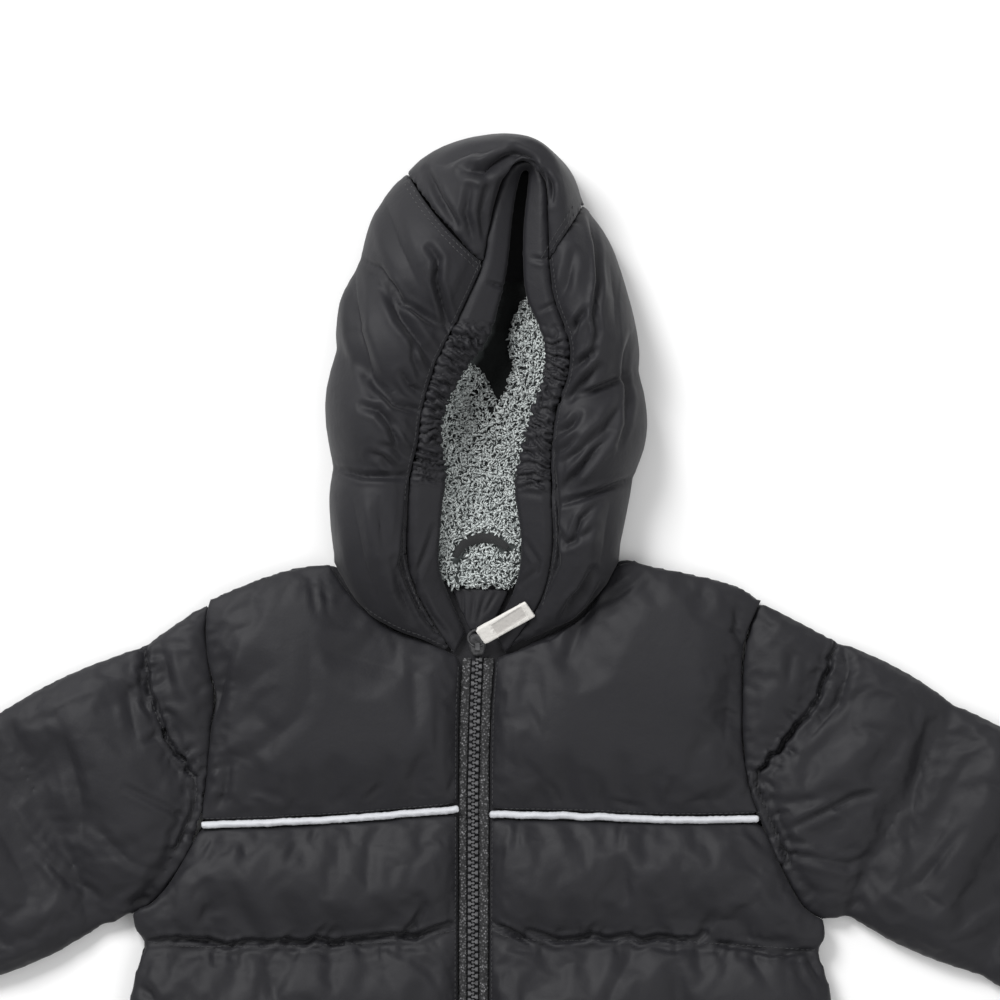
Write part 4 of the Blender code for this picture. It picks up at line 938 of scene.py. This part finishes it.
def sherpa():
    """The lining's ground cloth, tucked under the casing, and the curled pile on it."""
    ground = solid_copy("hood_lining", "hood_lining_ground", PILE_GROUND)
    evened(ground, 1.6, 3)
    points, lines = places(ground), directions(ground)
    for k, (x, y, z) in enumerate(points / MM):
        rise = min(1.0, max(0.0, (z - 20.0) / 12.0))
        middle = 6.0 + 0.10 * max(0.0, y - 200.0)
        spread = 3.0 * rise * (1 if x > middle else -1)
        lump = noise.noise(Vector((x, y, z)) * 0.16) * 0.9 + noise.noise(Vector((x, y, z)) * 0.4) * 0.4
        points[k, 0] += spread * MM
        points[k] += lines[k] * lump * MM
        if lines[k, 2] > 0.0:
            sink = HOLLOW_DEPTH * hollow(x, y) + VALLEY_DEPTH * valley(x, y)
            points[k, 2] = max(points[k, 2] - sink * MM, HOLLOW_FLOOR * MM)
    settle(ground, points)
    ground.data.shade_smooth()

    field = bpy.data.objects.new("pile_field", ground.data.copy())
    bpy.context.scene.collection.objects.link(field)
    shape = bmesh.new()
    shape.from_mesh(field.data)
    loop = [p for p, _ in curve_points(LOOP_LINE, 1.0)]
    under = []
    for face in shape.faces:
        place = face.calc_center_median().xy / MM
        bare = face.normal.z < 0.02 or hollow(place.x, place.y) > 0.25
        if bare or min((place - p).length for p in loop) < LOOP_CLEARANCE:
            under.append(face)
    bmesh.ops.delete(shape, geom=under, context="FACES")
    shape.to_mesh(field.data)
    shape.free()
    pile = grown_pile(field, CURL_COUNT, PILE_SEED)
    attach(ground, "jacket")
    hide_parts("hood_lining")
    return ground, pile


def curl_of_pile():
    """One curl: a short tapered strand that bends over, with its root at the origin."""
    rings = []
    steps = 5
    for k in range(steps + 1):
        t = k / steps
        angle = math.radians(12 + 100 * t)
        reach = 1.5 * (1 - math.cos(angle)) * 1.1
        height = 2.0 * math.sin(min(angle, math.pi / 2)) - 0.5 * max(0.0, angle - math.pi / 2)
        thick = 0.56 * (1 - 0.5 * t) * (0.75 + 0.5 * math.sin(math.pi * t))
        ring = []
        for n in range(3):
            a = math.tau * n / 3 + 0.7 * t
            out = thick * math.cos(a) * 0.6
            bend = thick * math.sin(a) + 0.5 * math.sin(2.6 * t)
            ring.append((reach + out, bend, height + out))
        rings.append(ring)
    points = [p for ring in rings for p in ring]
    faces = [(0, 1, 2), (len(points) - 3, len(points) - 2, len(points) - 1)]
    for j in range(steps):
        for i in range(3):
            a, b = j * 3 + i, j * 3 + (i + 1) % 3
            faces.append((a, b, b + 3, a + 3))
    return unit_from("curl", points, faces, True)


class Growth:
    """A Geometry Nodes tree in the making, with named number inputs."""

    def __init__(self, name, sizes):
        self.tree = bpy.data.node_groups.new(name, "GeometryNodeTree")
        face = self.tree.interface
        face.new_socket("Geometry", in_out="INPUT", socket_type="NodeSocketGeometry")
        face.new_socket("Geometry", in_out="OUTPUT", socket_type="NodeSocketGeometry")
        self.sizes = {}
        for label, value in sizes.items():
            kind = {int: "NodeSocketInt", float: "NodeSocketFloat"}.get(type(value), "NodeSocketObject")
            self.sizes[label] = (face.new_socket(label, in_out="INPUT", socket_type=kind).identifier, value)
        self.source = self.tree.nodes.new("NodeGroupInput")
        self.result = self.tree.nodes.new("NodeGroupOutput")

    def node(self, kind, settings=None, values=None):
        made = self.tree.nodes.new(kind)
        for key, value in (settings or {}).items():
            setattr(made, key, value)
        for key, value in (values or {}).items():
            if isinstance(value, bpy.types.NodeSocket):
                self.tree.links.new(value, made.inputs[key])
            else:
                made.inputs[key].default_value = value
        return made

    def size(self, label):
        return self.source.outputs[label]

    def finish(self, instances, material, piece):
        """Realizes the instances, gives them their material and bakes them into the piece."""
        real = self.node("GeometryNodeRealizeInstances", {}, {"Geometry": instances})
        dressed = self.node("GeometryNodeSetMaterial", {}, {"Geometry": real.outputs[0]})
        dressed.inputs["Material"].default_value = material
        self.tree.links.new(dressed.outputs[0], self.result.inputs[0])
        grown = piece.modifiers.new(self.tree.name, "NODES")
        grown.node_group = self.tree
        for identifier, value in self.sizes.values():
            grown[identifier] = value
        return baked(piece)


def grown_pile(field, count, seed):
    """Scatters about this many curls over the field and turns the field into them."""
    curl = curl_of_pile()
    area = sum(face.area for face in field.data.polygons)
    growth = Growth("sherpa_curls", {"Density": count / area, "Seed": seed, "Curl": curl})
    scatter = growth.node("GeometryNodeDistributePointsOnFaces", {"distribute_method": "RANDOM"},
                          {"Mesh": growth.source.outputs[0], "Density": growth.size("Density"),
                           "Seed": growth.size("Seed")})
    info = growth.node("GeometryNodeObjectInfo", {}, {"Object": growth.size("Curl")})
    turn = growth.node("FunctionNodeRandomValue", {"data_type": "FLOAT_VECTOR"},
                       {0: (-0.35, -0.35, 0.0), 1: (0.35, 0.35, math.tau), "Seed": growth.size("Seed")})
    tilt = growth.node("FunctionNodeRotateRotation", {"rotation_space": "LOCAL"},
                       {0: scatter.outputs["Rotation"]})
    growth.tree.links.new(turn.outputs["Value"], tilt.inputs[1])
    grow = growth.node("FunctionNodeRandomValue", {"data_type": "FLOAT"},
                       {2: 0.7, 3: 1.45, "Seed": growth.size("Seed")})
    placed = growth.node("GeometryNodeInstanceOnPoints", {},
                         {"Points": scatter.outputs["Points"], "Instance": info.outputs["Geometry"],
                          "Rotation": tilt.outputs[0], "Scale": grow.outputs[1]})
    field.name = "sherpa_curls"
    growth.finish(placed.outputs[0], PILE, field)
    field.data.materials.clear()
    field.data.materials.append(PILE)
    field.data.shade_smooth()
    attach(field, "jacket")
    bpy.data.objects.remove(curl)
    return field


padded_back()
CASING = gathered_casing()
GROUND, CURLS = sherpa()


# --- Trims ---

def repeated(name, unit, spots, finish, body="jacket"):
    """Copies of one small unit, each at its place in metres and turned by its own angles."""
    mesh = bpy.data.meshes.new(name)
    mesh.from_pydata([tuple(place) for place, _ in spots], [], [])
    turns = mesh.attributes.new("turn", "FLOAT_VECTOR", "POINT")
    turns.data.foreach_set("vector", [angle for _, turn in spots for angle in turn])
    piece = bpy.data.objects.new(name, mesh)
    bpy.context.scene.collection.objects.link(piece)
    growth = Growth(name, {"Unit": unit, "Scale": 1.0})
    info = growth.node("GeometryNodeObjectInfo", {}, {"Object": growth.size("Unit")})
    turn = growth.node("GeometryNodeInputNamedAttribute", {"data_type": "FLOAT_VECTOR"}, {"Name": "turn"})
    angles = growth.node("FunctionNodeEulerToRotation", {}, {0: turn.outputs["Attribute"]})
    placed = growth.node("GeometryNodeInstanceOnPoints", {},
                         {"Points": growth.source.outputs[0], "Instance": info.outputs["Geometry"],
                          "Rotation": angles.outputs[0], "Scale": growth.size("Scale")})
    growth.finish(placed.outputs[0], finish, piece)
    piece.data.materials.clear()
    piece.data.materials.append(finish)
    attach(piece, body)
    bpy.data.objects.remove(unit)
    return piece


def tooth_unit():
    """A moulded tooth: a wide foot on the tape, a narrow neck and a round head over the middle."""
    half = [(-2.9, 1.15), (-2.6, 1.3), (-1.3, 1.2), (-1.0, 0.55), (-0.5, 0.5), (-0.1, 0.8),
            (0.5, 0.85), (0.9, 0.45)]
    ring = half + [(x, -y) for x, y in reversed(half)]
    count = len(ring)
    points = [(x, y, 0.0) for x, y in ring] + [(x, y, 1.35) for x, y in ring]
    points += [(-1.0 + (x + 1.0) * 0.86, y * 0.62, 1.85) for x, y in ring]
    faces = [tuple(range(count)), tuple(range(2 * count, 3 * count))]
    for j in range(2):
        for i in range(count):
            a, b = j * count + i, j * count + (i + 1) % count
            faces.append((a, b, b + count, a + count))
    return unit_from("tooth", points, faces, False)


def chain_x(y):
    """The middle of the zip at a height in the plan."""
    return float(np.interp(-y, [-p[1] for p in ZIP_CHAIN], [p[0] for p in ZIP_CHAIN]))


TOOTH_PITCH = 3.85
CHAIN_LENGTH = 361.0
FIRST_TOOTH = 85.6
TEETH_LEVEL = 9.9


def zip_teeth():
    """Teeth of the two sides in turn, each side half a pitch after the other."""
    spots = []
    for k in range(int(CHAIN_LENGTH / TOOTH_PITCH * 2)):
        y = FIRST_TOOTH - k * TOOTH_PITCH / 2
        turn = (0.0, 0.0, 0.0 if k % 2 else math.pi)
        spots.append((Vector((chain_x(y), y, TEETH_LEVEL)) * MM, turn))
    piece = repeated("zip_teeth", tooth_unit(), spots, TEETH)
    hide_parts("zip_chain")


def zip_tape(side):
    """Woven tape that runs in under the teeth, with a soft unevenness."""
    node = "zip_tape_" + side
    piece = solid_copy(node, node + "_weave", TAPE)
    evened(piece, 0.9, 1)
    points = places(piece)
    for k, (x, y, z) in enumerate(points / MM):
        middle = chain_x(y)
        off = abs(x - middle)
        if off < 3.2:
            points[k, 0] = (middle + math.copysign(0.15 + max(0.0, off - 1.9) * 2.35, x - middle)) * MM
        if z > 9.2:
            points[k, 2] += noise.noise(Vector((x * 0.25, y * 0.05, 2.0))) * 0.35 * MM
    settle(piece, points)
    plain_underside(piece, 0.0002, 0.0089)
    piece.data.shade_smooth()
    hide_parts(node)


def piping(side):
    """Folded strip with slightly uneven edges, full in the middle."""
    node = "piping_" + side
    piece = solid_copy(node, node + "_satin", PIPING)
    evened(piece, 0.8, 1)
    points, lines = places(piece), directions(piece)
    underside = points[:, 2].min()
    for k, (x, y, _) in enumerate(points / MM):
        points[k, 1] += noise.noise(Vector((x * 0.09, 5.0, 1.0))) * 0.5 * MM
        ripple = noise.noise(Vector((x * 0.55, y * 0.5, 9.0))) * 0.28
        points[k] += lines[k] * (ripple + 0.35) * MM
    points[:, 2] = np.maximum(points[:, 2], underside)
    settle(piece, points)
    piece.data.shade_smooth()
    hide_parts(node)


def hanging_loop():
    piece = solid_copy("hanging_loop", "hanging_loop_twill", LOOP_TAPE)
    evened(piece, 0.5, 3)
    points = places(piece)
    points[:, 2] += 1.3 * MM
    settle(piece, points)
    piece.data.shade_smooth()
    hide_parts("hanging_loop")


def wind_flap():
    """Flap behind the zip's top, with its seam and the small gathers that run down from it."""
    piece = solid_copy("wind_flap", "wind_flap_cloth", SHELL)
    evened(piece, 0.8, 3)
    creased(piece, [(w, d, 0.0, *(seen(*p) for p in walk)) for w, d, *walk in (
        (1.0, 0.9, (463, 592), (463, 628)), (1.3, 0.7, (474, 594), (472, 620)),
        (1.5, 0.8, (486, 593), (478, 620)), (1.2, 0.6, (497, 592), (484, 614)))])
    piece.data.shade_smooth()
    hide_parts("wind_flap")


STRAP_START = Vector(seen(482.5, 637))
STRAP_RUN = (Vector(seen(533, 605)) - STRAP_START).normalized()
# The two stitched rows across the strap, measured along it
STRAP_ROWS = (7.2, 27.8)


def pull_strap():
    """Woven strap: raised pale borders round a greyer field, thicker where it folds at the ring."""
    piece = solid_copy("pull_strap", "pull_strap_weave", STRAP, "pull")
    evened(piece, 0.5, 2)
    piece.data.materials.append(STRAP_FIELD)
    points, lines = places(piece), directions(piece)
    for k, (x, y, _) in enumerate(points / MM):
        off = Vector((x, y)) - STRAP_START
        run, side = off.dot(STRAP_RUN), off.x * STRAP_RUN.y - off.y * STRAP_RUN.x
        if lines[k][2] > 0.5:
            field = min(1.0, max(0.0, (3.4 - abs(side)) / 0.7)) * (7.6 < run < 27.4)
            stitch = sum(math.exp(-((run - row) / 0.45) ** 2) for row in STRAP_ROWS)
            wave = noise.noise(Vector((x, y, 4.0)) * 0.7) * 0.16
            points[k] += lines[k] * (wave - 0.32 * field - 0.35 * stitch) * MM
    settle(piece, points)
    for face in piece.data.polygons:
        off = Vector(face.center).xy / MM - STRAP_START
        run, side = off.dot(STRAP_RUN), off.x * STRAP_RUN.y - off.y * STRAP_RUN.x
        if 7.8 < run < 27.2 and abs(side) < 3.3 and face.normal.z > 0.4:
            face.material_index = 1
    piece.data.shade_smooth()
    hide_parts("pull_strap")
    return piece


# --- Stitches ---

def stitch_unit(length, thick):
    points, faces = [], []
    for t, wide in ((-1.0, 0.35), (-0.7, 0.9), (0.0, 1.0), (0.7, 0.9), (1.0, 0.35)):
        for n in range(5):
            a = math.tau * n / 5
            points.append((t * length / 2, math.cos(a) * wide * thick / 2,
                           math.sin(a) * wide * thick / 2 - 0.12 * t * t))
    for j in range(4):
        for i in range(5):
            a, b = j * 5 + i, j * 5 + (i + 1) % 5
            faces.append((a, b, b + 5, a + 5))
    faces += [tuple(range(5)), tuple(range(20, 25))]
    return unit_from("stitch", points, faces, True)


def beside(line, offset):
    """A seam line moved sideways, to its left for an offset above 0."""
    return [tuple(p + Vector((-run.y, run.x)) * offset) for p, run in curve_points(line, 6.0)]


def stitched(name, pieces, lines, finish, pitch=3.0, length=2.1, thick=0.5, body="jacket"):
    """Rows of single stitches laid on the top of the given pieces along plan lines."""
    points, faces = [], []
    for piece in pieces:
        first = len(points)
        points += [v.co.copy() for v in piece.data.vertices]
        faces += [[first + k for k in face.vertices] for face in piece.data.polygons]
    ground = BVHTree.FromPolygons(points, faces)
    spots = []
    for line in lines:
        for place, run in curve_points(line, pitch):
            hit, normal, _, _ = ground.ray_cast(Vector((place.x, place.y, 90.0)) * MM, Vector((0, 0, -1)))
            if hit is None or normal.z < 0.4:
                continue
            along = Vector((run.x, run.y, 0.0))
            along = (along - normal * along.dot(normal)).normalized()
            across = normal.cross(along)
            turn = Matrix((along, across, normal)).transposed().to_euler()
            spots.append((hit + normal * 0.12 * MM, tuple(turn)))
    return repeated(name, stitch_unit(length, thick), spots, finish, body)


zip_teeth()
for side in ("left", "right"):
    zip_tape(side)
    piping(side)
hanging_loop()
wind_flap()
# The strap's upper layer, as it shows
STRAP_CLOTH = pull_strap()

BODY_CLOTH = [PANELS[n] for n in ("yoke_left", "yoke_right", "front_left", "front_right")]
SLEEVE_CLOTH = [PANELS[n] for n in ("sleeve_left", "sleeve_right")]
HOOD_CLOTH = [PANELS[n] for n in ("hood_side_left", "hood_side_right", "hood_centre")]

stitched("seam_stitches_body", BODY_CLOTH + SLEEVE_CLOTH, [
    beside(PIPING_LEFT, 3.6), beside(PIPING_RIGHT, -3.6),
    beside(PLACKET_LEFT, -1.6), beside(PLACKET_RIGHT, 1.6),
    *QUILTS_LEFT, *QUILTS_RIGHT,
    CUFFWARD_LEFT, CUFFWARD_RIGHT,
], DARK_THREAD)
stitched("seam_stitches_hood", HOOD_CLOTH + [CASING], [
    beside(HOOD_SEAM_LEFT, 1.8), beside(HOOD_SEAM_LEFT, 4.4),
    beside(HOOD_SEAM_RIGHT, 1.8), beside(HOOD_SEAM_RIGHT, 4.4),
    beside(HOOD_EDGE_LEFT[1:], 1.8), beside(HOOD_EDGE_RIGHT[:-1], 1.8),
    beside(NECK_LEFT, 1.9), beside(NECK_RIGHT, -1.9),
], DARK_THREAD)

SIDEWAYS = Vector((-STRAP_RUN.y, STRAP_RUN.x))
stitched("strap_stitches", [STRAP_CLOTH], [
    [tuple(STRAP_START + STRAP_RUN * row + SIDEWAYS * side) for side in (-4.4, 0.0, 4.4)]
    for row in STRAP_ROWS
], PALE_THREAD, pitch=2.1, length=1.5, thick=0.42, body="pull")

for node, finish in (("zip_slider", METAL), ("pull_ring", METAL), ("zip_box", TEETH)):
    for slot in NODES[node].material_slots:
        slot.material = finish


# --- Stage ---

def soft_light(name, place, aim, power, size):
    lamp = bpy.data.lights.new(name, "AREA")
    lamp.energy = power
    lamp.size = size
    holder = bpy.data.objects.new(name, lamp)
    holder.location = place
    holder.rotation_euler = (Vector(aim) - Vector(place)).to_track_quat("-Z", "Y").to_euler()
    bpy.context.scene.collection.objects.link(holder)


def make_stage():
    floor_mesh = bpy.data.meshes.new("floor")
    wide, level = 6.0, -0.4 * MM
    corners = [(-wide, -wide), (wide, -wide), (wide, wide), (-wide, wide)]
    floor_mesh.from_pydata([(x, y, level) for x, y in corners], [], [(0, 1, 2, 3)])
    paper = Finish("floor_paper", {"Roughness": 0.9})
    paper.set("Base Color", paper.mix(paper.grain(3.0), tone(0.86, 0.86, 0.86), tone(0.88, 0.88, 0.88)))
    floor_mesh.materials.append(paper.material)
    floor = bpy.data.objects.new("floor", floor_mesh)
    bpy.context.scene.collection.objects.link(floor)

    soft_light("window", (-0.9, 1.3, 1.5), (0.0, 0.1, 0.0), 40.0, 0.8)
    soft_light("fill", (1.3, -0.6, 1.9), (0.0, 0.1, 0.0), 12.0, 1.6)
    world = bpy.data.worlds.new("studio")
    world.use_nodes = True
    world.node_tree.nodes["Background"].inputs["Color"].default_value = (1.0, 1.0, 1.0, 1.0)
    world.node_tree.nodes["Background"].inputs["Strength"].default_value = 0.62
    bpy.context.scene.world = world
    bpy.context.scene.view_settings.view_transform = "Standard"

    lens = bpy.data.cameras.new("camera")
    lens.sensor_width = 36.0
    distance = 6.0
    lens.lens = lens.sensor_width * distance / (VIEW_PIXELS * PIXEL * MM)
    lens.clip_end = 50.0
    camera = bpy.data.objects.new("camera", lens)
    x, y = seen(VIEW_PIXELS / 2, VIEW_PIXELS / 2)
    camera.location = (x * MM, y * MM, distance)
    bpy.context.scene.collection.objects.link(camera)
    bpy.context.scene.camera = camera


make_stage()
